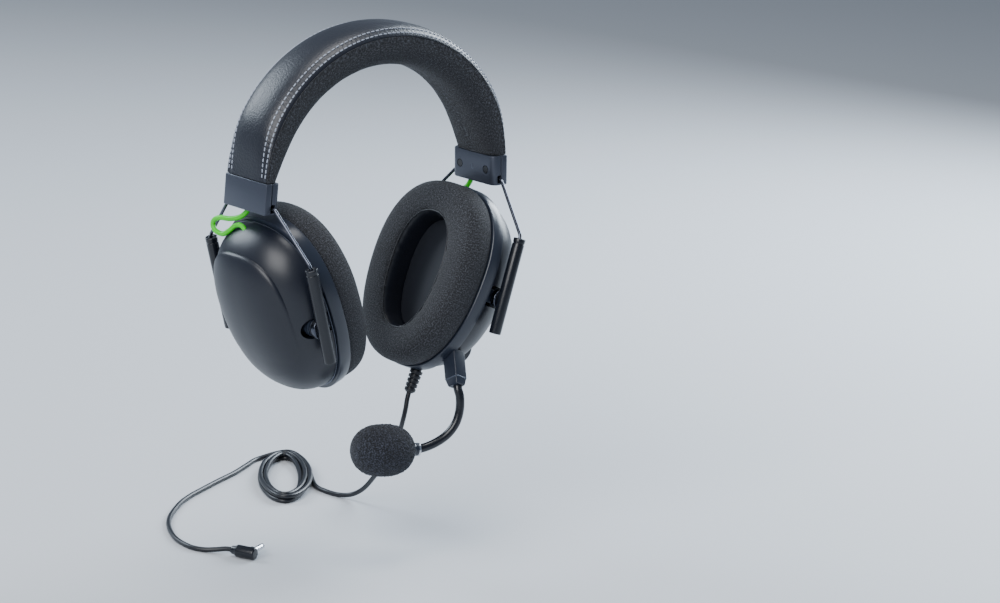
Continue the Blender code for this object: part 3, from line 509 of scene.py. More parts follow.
@dataclass
class Headband:
    """Leather top, knit pad, stitching and end caps, all along one elliptical seam."""

    half_span: float = 90.5
    rise: float = 83.0
    drop: float = 5.0
    start: float = math.radians(3.8)
    half_width: float = 18.4
    dome: tuple[float, float] = (0.9, 6.9)
    pad: tuple[float, float] = (10.0, 18.0)
    stations: int = 260
    stitch_pitch: float = 3.1
    stitch_rows: tuple[float, ...] = (-17.2, -14.4, 14.0, 16.8)

    def seam(self, phi: Array) -> tuple[Array, Array, Array]:
        """Seam point (a cos, 0, b sin - drop), its outward normal and the cap-to-top ramp."""
        x, z = self.half_span * np.cos(phi), self.rise * np.sin(phi) - self.drop
        n = unit(np.stack([self.rise * np.cos(phi), 0 * phi, self.half_span * np.sin(phi)], -1))
        ramp = np.clip(z / 35.0, 0.0, 1.0)
        return np.stack([x, 0 * x, z], -1), n, ramp * ramp * (3.0 - 2.0 * ramp)

    def place(self, phi: Array, y: Array, off: Array) -> Array:
        """Points at a distance across the band and over the seam curve."""
        base, n, _ = self.seam(phi)
        return base + n * off[..., None] + np.array([0.0, 1.0, 0.0]) * y[..., None]

    def top_height(self, phi: Array, y: Array) -> Array:
        """Height of the leather over the seam: a half superellipse across the band."""
        _, _, ramp = self.seam(phi)
        high = self.dome[0] + (self.dome[1] - self.dome[0]) * ramp
        s = np.clip(np.abs(y) / self.half_width, 0.0, 1.0)
        return 0.15 + (high - 0.15) * (1.0 - s ** 2.6) ** 0.62

    def cover(self) -> bpy.types.Object:
        """The leather: a dome with shallow puckers between the stitches and a flat underside."""
        phi = np.linspace(self.start, math.pi - self.start, self.stations)
        t = np.linspace(0.0, math.pi, 61)
        across = -self.half_width * np.sign(np.cos(t)) * np.abs(np.cos(t)) ** 0.8
        y, p = np.meshgrid(across, phi)
        off = self.top_height(p, y)
        arc = p * 87.0
        pucker = np.exp(-((np.abs(y) - 15.6) / 1.5) ** 2)
        off = off - 0.30 * pucker * (1.0 + 0.5 * np.cos(2 * np.pi * arc / self.stitch_pitch))
        under = np.linspace(self.half_width - 0.4, -self.half_width + 0.4, 9)
        yu, pu = np.meshgrid(under, phi)
        points = np.concatenate([self.place(p, y, off), self.place(pu, yu, np.full_like(yu, 0.05))], 1)
        return surface("leather_top", points, (False, True), LEATHER, caps=True,
                       size=(260.0, 40.0), sharp=70.0)

    def stitches(self) -> bpy.types.Object:
        """Rows of thread: each stitch is a small lens lying along the band."""
        length = 258.0
        count = int(length / self.stitch_pitch)
        gap = (math.pi - 2 * self.start - 0.05) / count
        mid = self.start + 0.025 + gap * (np.arange(count) + 0.5)
        u = np.linspace(0.0, math.pi, 7)
        v = np.linspace(0.0, 2 * math.pi, 6, endpoint=False)
        vertices, faces, offset = [], [], 0
        for y_row in self.stitch_rows:
            m, uu, vv = np.meshgrid(mid, u, v, indexing="ij")
            ang = m - np.cos(uu) * gap * 0.38
            thick = np.sqrt(np.sin(uu)) * 0.47
            y = y_row + thick * np.cos(vv)
            off = self.top_height(ang, np.full_like(ang, y_row)) - 0.02 + thick * np.sin(vv) * 0.85
            vertices.append(self.place(ang, y, off).reshape(-1, 3))
            a = np.arange(6)[:, None] * 6 + np.arange(6)[None, :]
            b = np.arange(6)[:, None] * 6 + (np.arange(6)[None, :] + 1) % 6
            quad = np.stack([a, b, b + 6, a + 6], -1).reshape(-1, 4)
            each = (np.arange(count) * 42)[:, None, None] + quad
            faces.append(each.reshape(-1, 4) + offset)
            offset += count * 42
        mesh = bpy.data.meshes.new("stitches")
        mesh.from_pydata(row(np.vstack(vertices)).tolist(), [], np.vstack(faces).tolist())
        bm = bmesh.new()
        bm.from_mesh(mesh)
        bmesh.ops.remove_doubles(bm, verts=bm.verts, dist=1e-6)
        bm.to_mesh(mesh)
        bm.free()
        return finish_mesh("stitching", mesh, THREAD)

    def cushion(self) -> bpy.types.Object:
        """The pad: a half superellipse under the seam, softly uneven like covered foam."""
        phi = np.linspace(self.start, math.pi - self.start, self.stations)
        t = np.linspace(0.0, math.pi, 56)
        _, _, ramp = self.seam(phi)
        base, _, _ = self.seam(phi)
        thick = self.pad[0] + (self.pad[1] - self.pad[0]) * (
            1.0 - np.exp(-np.maximum(base[:, 2], 0.0) / 18.0))
        c, s = np.cos(t), np.sin(t)
        y = 18.9 * np.sign(c) * np.abs(c) ** 0.58
        depth = np.abs(s) ** 0.62
        yy, pp = np.meshgrid(y, phi)
        off = -0.1 - thick[:, None] * depth[None, :]
        lumps = (np.sin(pp * 31.0 + yy * 0.41) + np.sin(pp * 19.0 - yy * 0.53)) * 0.035
        off = off + lumps * depth[None, :] * ramp[:, None]
        under = np.linspace(-18.2, 18.2, 9)
        yu, pu = np.meshgrid(under, phi)
        points = np.concatenate([self.place(pp, yy, off),
                                 self.place(pu, yu, np.full_like(yu, -0.1))], 1)
        return surface("knit_pad", points, (False, True), KNIT, caps=True, size=(230.0, 96.0),
                       sharp=75.0)

    def build(self) -> None:
        """Build the soft band and settle it on the headband."""
        settle(self.cover(), "headband", ["headband_cover"])
        settle(self.stitches(), "headband", ())
        pad = self.cushion()
        settle(pad, "headband", ["headband_pad"])


@dataclass
class EndCap:
    """Two-part cap at one end of the band, its screws' recesses and the two slider wires."""

    side: Side
    x: float = 91.0
    flare: float = math.radians(3.0)
    half: float = 19.5
    thick: float = 10.8
    high: float = 18.2
    plate: float = 4.4
    wire_line: float = -5.9
    wire_z: float = -14.33
    tube_top: tuple[float, float] = (79.2, -44.8)
    tube_y: float = 47.5
    lean: float = math.radians(16.25)

    @property
    def frame(self) -> Frame:
        """Frame at the outer top edge, X outward and Z up the flare."""
        s, c, t = self.side.value, math.cos(self.flare), math.sin(self.flare)
        return Frame(np.array([s * self.x, 0.0, 0.0]),
                     np.array([[s * c, 0.0, t], [0.0, 1.0, 0.0], [-s * t, 0.0, c]]))

    @property
    def down(self) -> Array:
        """Direction down the slider tubes."""
        return np.array([-self.side.value * math.sin(self.lean), 0.0, -math.cos(self.lean)])

    def body(self) -> list[bpy.types.Object]:
        """Outer plate with crisp edges and inner half with round upright edges."""
        word = self.side.word
        plate = block("cap_plate_" + word, (-self.plate, -self.half, -self.high),
                      (0.0, self.half, 0.0), self.frame, CAP, 0.55)
        back = -self.plate - 0.5
        t = np.linspace(0.0, math.pi / 2, 9)
        r = 4.0
        arc = np.stack([-self.thick + r - r * np.sin(t), self.half - 0.3 - r + r * np.cos(t)], -1)
        ring = np.vstack([[back, -self.half + 0.3], [back, self.half - 0.3], arc,
                          arc[::-1] * [1.0, -1.0]])
        levels = [(-0.0, 0.5), (-0.15, 0.15), (-0.6, 0.0), (-self.high + 0.9, 0.0),
                  (-self.high + 0.25, 0.3), (-self.high, 0.9)]
        rings = []
        for z, inset in levels:
            x = np.where(ring[:, 0] < back - 0.01, np.minimum(ring[:, 0] + inset, back), ring[:, 0])
            rings.append(np.column_stack([x, ring[:, 1] * (1.0 - 0.5 * inset / self.half),
                                          np.full(len(ring), z)]))
        inner = surface("cap_half_" + word, self.frame.place(np.array(rings)), (False, True), CAP,
                        caps=True, sharp=38.0)
        for way in (-1.0, 1.0):
            seat = Frame.along(self.frame.place([0.0, way * 11.8, -9.0]),
                               self.frame.turn([-1.0, 0.0, 0.0]))
            carve(inner, turned("recess", [(2.5, self.thick - 1.2), (2.5, self.thick + 2.0)], seat,
                                DARK, 40))
            slot = sorted((way * 12.4, way * (self.half + 2.0)))
            carve(inner, block("wire_slot", (-7.4, slot[0], -17.0), (-4.0, slot[1], -12.1),
                               self.frame, DARK))
        core = block("cap_core_" + word, (-7.6, -12.0, -self.high + 1.2), (-4.0, 12.0, -1.0),
                     self.frame, DARK)
        return [plate, inner, core]

    def mark(self) -> bpy.types.Object:
        """A plain engraved-look side letter between the screws."""
        letter = "L" if self.side is Side.LEFT else "R"
        curve = bpy.data.curves.new("side_letter", "FONT")
        curve.body, curve.size, curve.extrude = letter, 4.4 * MM, 0.12 * MM
        curve.align_x, curve.align_y = "CENTER", "CENTER"
        text = bpy.data.objects.new("side_letter", curve)
        bpy.context.scene.collection.objects.link(text)
        bpy.context.view_layer.update()
        mesh = bpy.data.meshes.new_from_object(text)
        bpy.data.objects.remove(text, do_unlink=True)
        frame = self.frame
        out = frame.turn([-1.0, 0.0, 0.0])
        up = frame.turn([0.0, 0.0, 1.0])
        right = np.cross(up, out)
        centre = row(frame.place([-self.thick - 0.02, 0.0, -9.0]))
        place = Matrix([[right[k], up[k], out[k], centre[k]] for k in range(3)] + [[0, 0, 0, 1]])
        mesh.transform(place)
        mesh.materials.clear()
        mesh.materials.append(EDGE_HIGHLIGHT_AND_LETTER.material())
        obj = bpy.data.objects.new("side_letter_" + self.side.word, mesh)
        bpy.context.scene.collection.objects.link(obj)
        return obj

    def wire(self, way: float) -> bpy.types.Object:
        """One bent steel wire from the cap down into its tube."""
        start = self.frame.place([self.wire_line, way * 13.4, self.wire_z])
        turn = self.frame.place([self.wire_line, way * 20.6, self.wire_z])
        top = np.array([self.side.value * self.tube_top[0], way * self.tube_y, self.tube_top[1]])
        knots = [start, turn, top - self.down * 1.3, top + self.down * 52.0]
        path = [knots[0]]
        for a, b, c in zip(knots, knots[1:], knots[2:]):
            k = np.linspace(0.0, 1.0, 13)[:, None]
            p, q = b + unit(a - b) * 2.2, b + unit(c - b) * 2.2
            path += list((1 - k) ** 2 * p + 2 * k * (1 - k) * b + k ** 2 * q)
        path.append(knots[-1])
        end = "front" if way < 0 else "rear"
        return tube(f"wire_{end}_{self.side.word}", np.array(path), 1.0, CHROME, 16)

    def build(self) -> None:
        """Build the cap and its wires on the headband."""
        word = self.side.word
        plate, inner, core = self.body()
        settle(plate, "headband", ["cap_outer_" + word])
        settle(inner, "headband", ["cap_inner_" + word])
        settle(core, "headband", ())
        settle(self.mark(), "headband", ())
        for way, end in ((-1.0, "front"), (1.0, "rear")):
            settle(self.wire(way), "headband", [f"slider_wire_{end}_{word}"])


# --------------------------------------------------------------------------- sliders


@dataclass
class Slider:
    """The two gloss tubes of one side and the flanged pivots on them."""

    side: Side
    cap: EndCap
    radius: float = 3.65
    length: float = 59.0
    pivot: tuple[float, float] = (68.36, -81.58)

    def build(self) -> None:
        """Build tubes and hubs and settle them on the slider body."""
        word, down = self.side.word, self.cap.down
        body = "slider_" + word
        for way, end in ((-1.0, "front"), (1.0, "rear")):
            top = np.array([self.side.value * self.cap.tube_top[0], way * self.cap.tube_y,
                            self.cap.tube_top[1]])
            r, long = self.radius, self.length
            profile = eased([(0.02, long), (r, long), (r, 3.4), (r - 0.28, 3.3), (r - 0.28, 2.7),
                             (r, 2.6), (r, 0.0), (1.35, 0.0), (1.35, 8.0), (0.02, 8.0)], 0.6)
            piece = turned(f"tube_{end}_{word}", profile, Frame.along(top, down), GLOSS, 48)
            settle(piece, body, [f"slider_tube_{end}_{word}"])
            at = np.array([self.side.value * self.pivot[0], 0.0, self.pivot[1]])
            seat = Frame.along(at, [0.0, way, 0.0])
            hub = turned(f"hub_{end}_{word}", eased([(0.02, 33.0), (1.9, 33.0), (1.9, 42.2),
                                                     (6.0, 42.2), (6.0, 45.7), (0.02, 46.0)], 0.5),
                         seat, CHROME, 64)
            groove = Frame.along(at + [0.0, way * self.cap.tube_y, 0.0], down)
            carve(hub, turned("groove", [(r + 0.02, -12.0), (r + 0.02, 12.0)], groove, CHROME, 48))
            settle(hub, body, [f"pivot_pin_{end}_{word}"])


# --------------------------------------------------------------------------- ear cups


@dataclass
class Cup:
    """One ear cup: cushion, housing, domed shell with its raised panel."""

    side: Side
    face: tuple[float, float, float] = (35.0, -0.8, -67.0)
    tilt: float = math.radians(22.5)
    half_h: float = 57.0
    half_w: float = 43.5
    power: float = 2.3
    egg: float = 0.08
    shell: tuple[float, float, float] = (54.3, 42.0, 2.2)
    rim: float = 26.9
    base: float = 25.5
    rise: float = 33.3
    dome: float = 2.25
    pivot: tuple[float, float] = (68.36, -81.58)
    segments: int = 192

    def frame(self, y: float | None = None) -> Frame:
        """Frame on the cushion face: X is depth, Y back, Z up the cup."""
        s, c, t = self.side.value, math.cos(self.tilt), math.sin(self.tilt)
        origin = np.array([s * self.face[0], self.face[1] if y is None else y, self.face[2]])
        return Frame(origin, np.array([[s * c, 0.0, -t], [0.0, 1.0, 0.0], [s * t, 0.0, c]]))

    @property
    def body(self) -> str:
        """Name of the cup's body."""
        return "cup_" + self.side.word

    def outline(self, half_h: float, half_w: float, scale: Array | float = 1.0,
                count: int | None = None) -> tuple[Array, Array]:
        """Egg-shaped superellipse r(t) = (|cos t / w|^p + |sin t / h|^p)^(-1/p), as (y, height)."""
        a = np.linspace(0.0, 2 * np.pi, count or self.segments, endpoint=False)
        r = (np.abs(np.cos(a) / half_w) ** self.power
             + np.abs(np.sin(a) / half_h) ** self.power) ** (-1.0 / self.power)
        r = np.asarray(scale)[..., None] * r if np.ndim(scale) else r * scale
        h = r * np.sin(a)
        return r * np.cos(a) * (1.0 + self.egg * h / half_h), h

    def dome_depth(self, y: Array, h: Array) -> Array:
        """Depth of the shell over a point: base + rise (1 - rho^n)^(1/n)."""
        a, b = self.shell[0], self.shell[1]
        rho = (np.abs(y / (b * (1.0 + self.egg * h / a))) ** self.power
               + np.abs(h / a) ** self.power) ** (1.0 / self.power)
        left = np.clip(1.0 - rho ** self.dome, 0.0, None)
        return self.base + self.rise * left ** (1.0 / self.dome)

    def ring(self, name: str, profile: Sequence[tuple[float, float]],
             inner: tuple[float, float], outer: tuple[float, float], finish: Finish,
             sharp: float = 35.0, size: tuple[float, float] = (300.0, 60.0)) -> bpy.types.Object:
        """Carry a closed (share of the way outward, depth) profile round the cup."""
        w, d = np.array(profile, float).T
        yi, hi = self.outline(*inner)
        yo, ho = self.outline(*outer)
        y = yi + (yo - yi) * w[:, None]
        h = hi + (ho - hi) * w[:, None]
        local = np.stack([np.repeat(d[:, None], len(yi), 1), y, h], -1)
        return surface(name, self.frame().place(local), (True, True), finish, sharp=sharp,
                       size=(size[1], size[0]))

    def cushion(self) -> bpy.types.Object:
        """Knit ring round a leatherette ear well, puffed, with folds at the well's edge."""
        knots = np.array([(0.0, 17.6), (0.0, 12.0), (0.005, 7.0), (0.05, 3.3), (0.15, 1.1),
                          (0.32, 0.1), (0.5, -0.1), (0.66, 0.25), (0.82, 1.7), (0.93, 4.6),
                          (0.985, 8.2), (1.0, 11.5), (0.995, 15.0), (0.955, 17.6)])
        p = np.vstack([2 * knots[0] - knots[1], knots, 2 * knots[-1] - knots[-2]])
        t = np.linspace(0.0, 1.0, 5, endpoint=False)[None, :, None]
        p0, p1, p2, p3 = (p[k:len(p) - 3 + k, None, :] for k in range(4))
        fine = 0.5 * (2 * p1 + (p2 - p0) * t + (2 * p0 - 5 * p1 + 4 * p2 - p3) * t ** 2
                      + (3 * p1 - p0 - 3 * p2 + p3) * t ** 3)
        fine = np.vstack([fine.reshape(-1, 2), knots[-1]])
        back = np.linspace(knots[-1], knots[0], 12)[1:-1]
        profile = np.vstack([fine, back])
        name = "cushion_cover_" + self.side.word
        obj = self.ring(name, [tuple(q) for q in profile], (35.0, 20.0), (57.0, 43.5), KNIT,
                        sharp=80.0, size=(300.0, 92.0))
        rows_count, cols = len(profile), self.segments
        held = np.zeros((rows_count, cols))
        held[len(fine) - 4:] = 1.0
        held[:6] = 1.0
        inflate(obj, held.ravel(), 1.2)
        self._folds(obj, profile, rows_count, cols)
        obj.data.materials.append(LEATHERETTE.material())
        count = len(obj.data.polygons)
        slot = np.zeros(count, np.int32)
        face_row = np.repeat(np.arange(rows_count), cols)[:count]
        slot[face_row < 16] = 1
        obj.data.polygons.foreach_set("material_index", slot)
        return obj

    def _folds(self, obj: bpy.types.Object, profile: Array, rows_count: int, cols: int) -> None:
        """Push shallow folds across the well's lip: amplitude falls off away from the lip."""
        co = np.empty(len(obj.data.vertices) * 3)
        obj.data.vertices.foreach_get("co", co)
        nor = np.empty_like(co)
        obj.data.vertices.foreach_get("normal", nor)
        co, nor = co.reshape(rows_count, cols, 3), nor.reshape(rows_count, cols, 3)
        a = np.linspace(0.0, 2 * np.pi, cols, endpoint=False)
        wave = (0.5 * np.sin(17 * a + 0.8 * np.sin(3 * a)) + 0.35 * np.sin(29 * a + 2.0)
                + 0.3 * np.sin(7 * a + 1.0))
        w = profile[:, 0]
        lip = np.exp(-((w - 0.07) / 0.08) ** 2) * (profile[:, 1] < 12.0)
        soft = np.exp(-((w - 0.55) / 0.3) ** 2) * (profile[:, 1] < 6.0)
        slow = np.sin(5 * a + 0.5) + 0.6 * np.sin(9 * a + 1.7)
        push = 0.30 * lip[:, None] * wave + 0.12 * soft[:, None] * slow
        co += nor * (push * MM)[..., None]
        obj.data.vertices.foreach_set("co", co.ravel())
        obj.data.update()

    def piping(self) -> bpy.types.Object:
        """Thin seam cord between the ear well's wall and the knit face."""
        y, h = self.outline(35.0, 20.0)
        yo, ho = self.outline(57.0, 43.5)
        share = 0.085
        path = self.frame().place(np.stack([np.full_like(y, 2.0), y + (yo - y) * share,
                                            h + (ho - h) * share], -1))
        a = np.linspace(0.0, 2 * np.pi, 10, endpoint=False)
        centre = path.mean(0)
        out = unit(path - centre)
        deep = np.broadcast_to(self.frame().turn([1.0, 0.0, 0.0]), out.shape)
        points = path[:, None] + 0.42 * (np.cos(a)[None, :, None] * out[:, None]
                                         + np.sin(a)[None, :, None] * deep[:, None])
        return surface("well_seam_" + self.side.word, points, (True, True), LEATHERETTE, sharp=80.0)

    def housing(self) -> list[bpy.types.Object]:
        """Satin ring behind the cushion with its arms, the dark gaps either side of it, and a thin
        lighter ring on the shell's rim that is a painted highlight.
        """
        word = self.side.word
        profile = [(0.0, 18.1), (0.88, 18.1), (0.96, 18.35), (1.0, 19.0), (1.0, 25.6),
                   (0.96, 26.3), (0.88, 26.6), (0.0, 26.6)]
        ring = self.ring("housing_ring_" + word, profile, (53.0, 39.5), (57.5, 44.0), HOUSING, 28.0)
        # A thin ring of lighter metallic finish on the shell's front rim: a painted highlight along
        # the rim's chamfer.
        line = self.ring("shell_line_" + word, [(0.0, 26.95), (0.6, 26.95), (1.0, 27.3), (1.0, 27.6),
                                                (0.6, 27.7), (0.0, 27.7)], (53.4, 41.1), (54.9, 42.6),
                         EDGE_HIGHLIGHT_AND_LETTER, 28.0)
        gap = self.ring("housing_gap_" + word, [(0.0, 16.5), (1.0, 16.5), (1.0, 28.4), (0.0, 28.4)],
                        (50.5, 37.0), (53.2, 40.2), DARK)
        level = self.frame(0.0)
        depth, height = self.pivot_local
        pieces = []
        for way in (-1.0, 1.0):
            lo, hi = sorted((way * 33.0, way * 41.6))
            pieces.append(block("arm", (20.7, lo, height - 4.2), (depth, hi, height + 4.2), level,
                                HOUSING, 0.7))
            seat = Frame.along(level.place([depth, 0.0, height]), [0.0, way, 0.0])
            ribs = [(0.02, 30.5), (5.4, 30.5), (5.4, 36.8)]
            for k in range(2):
                z = 36.8 + 2.2 * k
                ribs += [(5.7, z), (5.7, z + 1.5), (5.0, z + 1.55), (5.0, z + 2.15)]
            ribs += [(5.3, 41.2), (5.1, 41.8), (2.2, 41.9), (2.2, 33.0), (0.02, 33.0)]
            pieces.append(turned("barrel", ribs, seat, HOUSING, 48))
        return [ring, gap, line, join("pivot_arms_" + word, pieces)]

    @property
    def pivot_local(self) -> tuple[float, float]:
        """Depth and height of the tilt axis in the cup's frame."""
        dx, dz = self.pivot[0] - self.face[0], self.pivot[1] - self.face[2]
        c, t = math.cos(self.tilt), math.sin(self.tilt)
        return dx * c - dz * t, dx * t + dz * c

    def bowl(self) -> bpy.types.Object:
        """The shell: a superellipse dome outside, the same 2.2 mm smaller inside."""
        layers = []
        for inset in (0.0, self.shell[2]):
            a, b = self.shell[0] - inset, self.shell[1] - inset
            u = np.linspace(0.02, 0.992, 54) * np.pi / 2
            scale = np.cos(u) ** (2.0 / self.dome)
            depth = self.base - inset + self.rise * np.sin(u) ** (2.0 / self.dome)
            scale = np.concatenate([[1.0], scale])
            depth = np.concatenate([[self.rim], np.maximum(depth, self.rim)])
            y, h = self.outline(a, b, scale)
            layers.append(np.stack([np.broadcast_to(depth[:, None], y.shape), y, h], -1))
        local = np.concatenate([layers[0][::-1], layers[1]])
        shell = surface("shell_" + self.side.word, self.frame().place(local), (False, True), SHELL,
                        caps=True, sharp=35.0)
        depth, height = self.pivot_local
        level = self.frame(0.0)
        for way in (-1.0, 1.0):
            carve(shell, self.slot("slot", way, 6.3, 45.0, 29.0, self.rim - 3.0, level, height))
        return shell

    def slot(self, name: str, way: float, half: float, deep: float, near: float, start: float,
             level: Frame, height: float) -> bpy.types.Object:
        """A slot with a round end, from the rim to a depth, running outwards along Y."""
        a = np.linspace(np.pi / 2, -np.pi / 2, 25)
        arc = np.stack([deep - half + half * np.cos(a), height + half * np.sin(a)], -1)
        ring = np.vstack([[start, height - half], [start, height + half], arc])
        points = np.stack([np.column_stack([ring[:, 0], np.full(len(ring), way * y), ring[:, 1]])
                           for y in (near, 62.0)])
        return surface(name, level.place(points), (False, True), DARK, caps=True)

    def pocket(self, way: float) -> bpy.types.Object:
        """Dark wall behind one pivot: a shallow round-ended pan."""
        _, height = self.pivot_local
        level = self.frame(0.0)
        a = np.linspace(np.pi / 2, -np.pi / 2, 25)
        half, deep, start = 6.32, 45.0, self.rim
        arc = np.stack([deep - half + half * np.cos(a), height + half * np.sin(a)], -1)
        ring = np.vstack([[start, height - half], [start, height + half], arc])
        grow = ring + unit(ring - [35.0, height]) * 1.0
        tall = self.dome_reach(ring)
        sheets = []
        for edge, y in ((ring, np.full(len(ring), 29.0)), (ring, tall), (grow, tall),
                        (grow, np.full(len(ring), 28.2))):
            sheets.append(np.column_stack([edge[:, 0], way * y, edge[:, 1]]))
        return surface("pocket", level.place(np.array(sheets)), (False, True), SLEEVE, caps=True)

    def dome_reach(self, ring: Array) -> Array:
        """How far out along Y the shell's wall middle is for (depth, height) points."""
        y = np.linspace(20.0, 44.0, 200)
        depth = self.dome_depth(y[None, :], ring[:, 1:2])
        inside = depth > ring[:, :1]
        return y[np.clip(inside.sum(1) - 1, 0, 199)] - 1.1

    def panel(self) -> bpy.types.Object:
        """Raised oval panel that follows the dome, with an eased rim."""
        count = 160
        a = np.linspace(0.0, 2 * np.pi, count, endpoint=False)
        scale = np.concatenate([np.linspace(0.02, 0.93, 26), [0.96, 0.98, 0.992, 0.998, 1.0]])
        c, s = np.cos(a), np.sin(a)
        edge = np.clip((scale[:, None] - 0.955) / 0.045, 0.0, 1.0) ** 2.2
        fade = np.clip(0.55 + 0.85 * scale[:, None] * s, 0.03, 1.0)
        lift = 0.06 + 1.29 * fade * (1.0 - 0.93 * edge)
        y = 1.0 + scale[:, None] * 34.5 * np.sign(c) * np.abs(c) ** 0.8
        h = 5.0 + scale[:, None] * 39.5 * np.sign(s) * np.abs(s) ** 0.8
        d, e = self.dome_depth(y, h), 0.05
        slope_y = (self.dome_depth(y + e, h) - self.dome_depth(y - e, h)) / (2 * e)
        slope_h = (self.dome_depth(y, h + e) - self.dome_depth(y, h - e)) / (2 * e)
        normal = unit(np.stack([np.ones_like(d), -slope_y, -slope_h], -1))
        at = np.stack([d, y, h], -1)
        top = at + normal * lift[..., None]
        low = at + normal * 0.02
        points = np.concatenate([top, low[::-1][:12]])
        return surface("panel_" + self.side.word, self.frame().place(points), (False, True), SHELL,
                       caps=True, sharp=50.0)

    def build(self) -> tuple[bpy.types.Object, bpy.types.Object]:
        """Build the cup and settle it; returns the shell and its panel."""
        word = self.side.word
        cushion = self.cushion()
        settle(cushion, self.body, ["cushion_" + word])
        settle(self.piping(), self.body, ())
        ring, gap, line, arms = self.housing()
        settle(ring, self.body, ["mid_housing_" + word])
        settle(gap, self.body, ())
        settle(line, self.body, ())
        settle(arms, self.body, ())
        shell, panel = self.bowl(), self.panel()
        settle(join("pockets_" + word, [self.pocket(-1.0), self.pocket(1.0)]), self.body, ())
        settle(shell, self.body, ["outer_shell_" + word])
        settle(panel, self.body, ["shell_panel_" + word])
        return shell, panel


# --------------------------------------------------------------------------- controls


@dataclass
class Controls:
    """Volume knob and mute button on the left cup."""

    cup: Cup
    knob_at: tuple[float, float] = (-6.0, -36.0)
    radius: float = 9.0
    base: float = 44.5
    top: float = 56.5

    def build(self, shell: bpy.types.Object, panel: bpy.types.Object) -> None:
        """Cut the openings and build both controls."""
        frame = self.cup.frame()
        axis = frame.turn([1.0, 0.0, 0.0])
        seat = Frame.along(frame.place([0.0, *self.knob_at]), axis)
        carve(panel, turned("window", [(self.radius + 0.6, 30.0), (self.radius + 0.6, 70.0)], seat,
                            DARK, 64), sharp=50.0)
        carve(shell, turned("opening", [(self.radius + 0.4, 36.0), (self.radius + 0.4, 70.0)], seat,
                            DARK, 64))
        r = self.radius
        a = np.linspace(0.0, 2 * np.pi, 180, endpoint=False)
        ribs = 1.0 - 0.016 * (0.5 + 0.5 * np.cos(60 * a)) ** 2
        profile = eased([(3.3, self.base + 5.0), (3.3, self.base), (r - 0.4, self.base),
                         (r, self.base + 0.5), (r, self.top - 1.3), (r - 0.25, self.top - 1.0),
                         (r - 1.2, self.top), (0.02, self.top)], 0.35, 3)
        rr, zz = np.array(profile).T
        grip = np.where((rr[:, None] > r - 0.35) & (zz[:, None] < self.top - 1.2), ribs, 1.0)
        local = np.stack([rr[:, None] * grip * np.cos(a), rr[:, None] * grip * np.sin(a),
                          np.repeat(zz[:, None], 180, 1)], -1)
        knob = surface("knob", seat.place(local), (False, True), SHELL, caps=True, sharp=28.0)
        edge = turned("knob_edge", eased([(r - 1.25, self.top - 0.15), (r - 0.15, self.top - 1.15),
                                          (r + 0.02, self.top - 1.2), (r - 0.9, self.top + 0.02),
                                          (r - 1.25, self.top - 0.1)], 0.1), seat, BRIGHT, 96,
                      caps=False)
        settle(knob, "volume", ["volume_knob"])
        settle(edge, "volume", ())
        seat = Frame.along(frame.place([34.0, 0.0, -28.0]), [0.0, 1.0, 0.0])
        carve(shell, turned("mute_opening", [(4.5, 20.0), (4.5, 45.0)], seat, DARK, 48))
        button = turned("mute_cap", eased([(0.02, 24.0), (5.2, 24.0), (5.2, 25.0), (4.2, 25.0),
                                           (4.2, 36.1), (3.6, 36.6), (0.02, 36.3)], 0.3), seat,
                        RUBBER, 48)
        settle(button, "mute", ["mute_button"])


# --------------------------------------------------------------------------- microphone


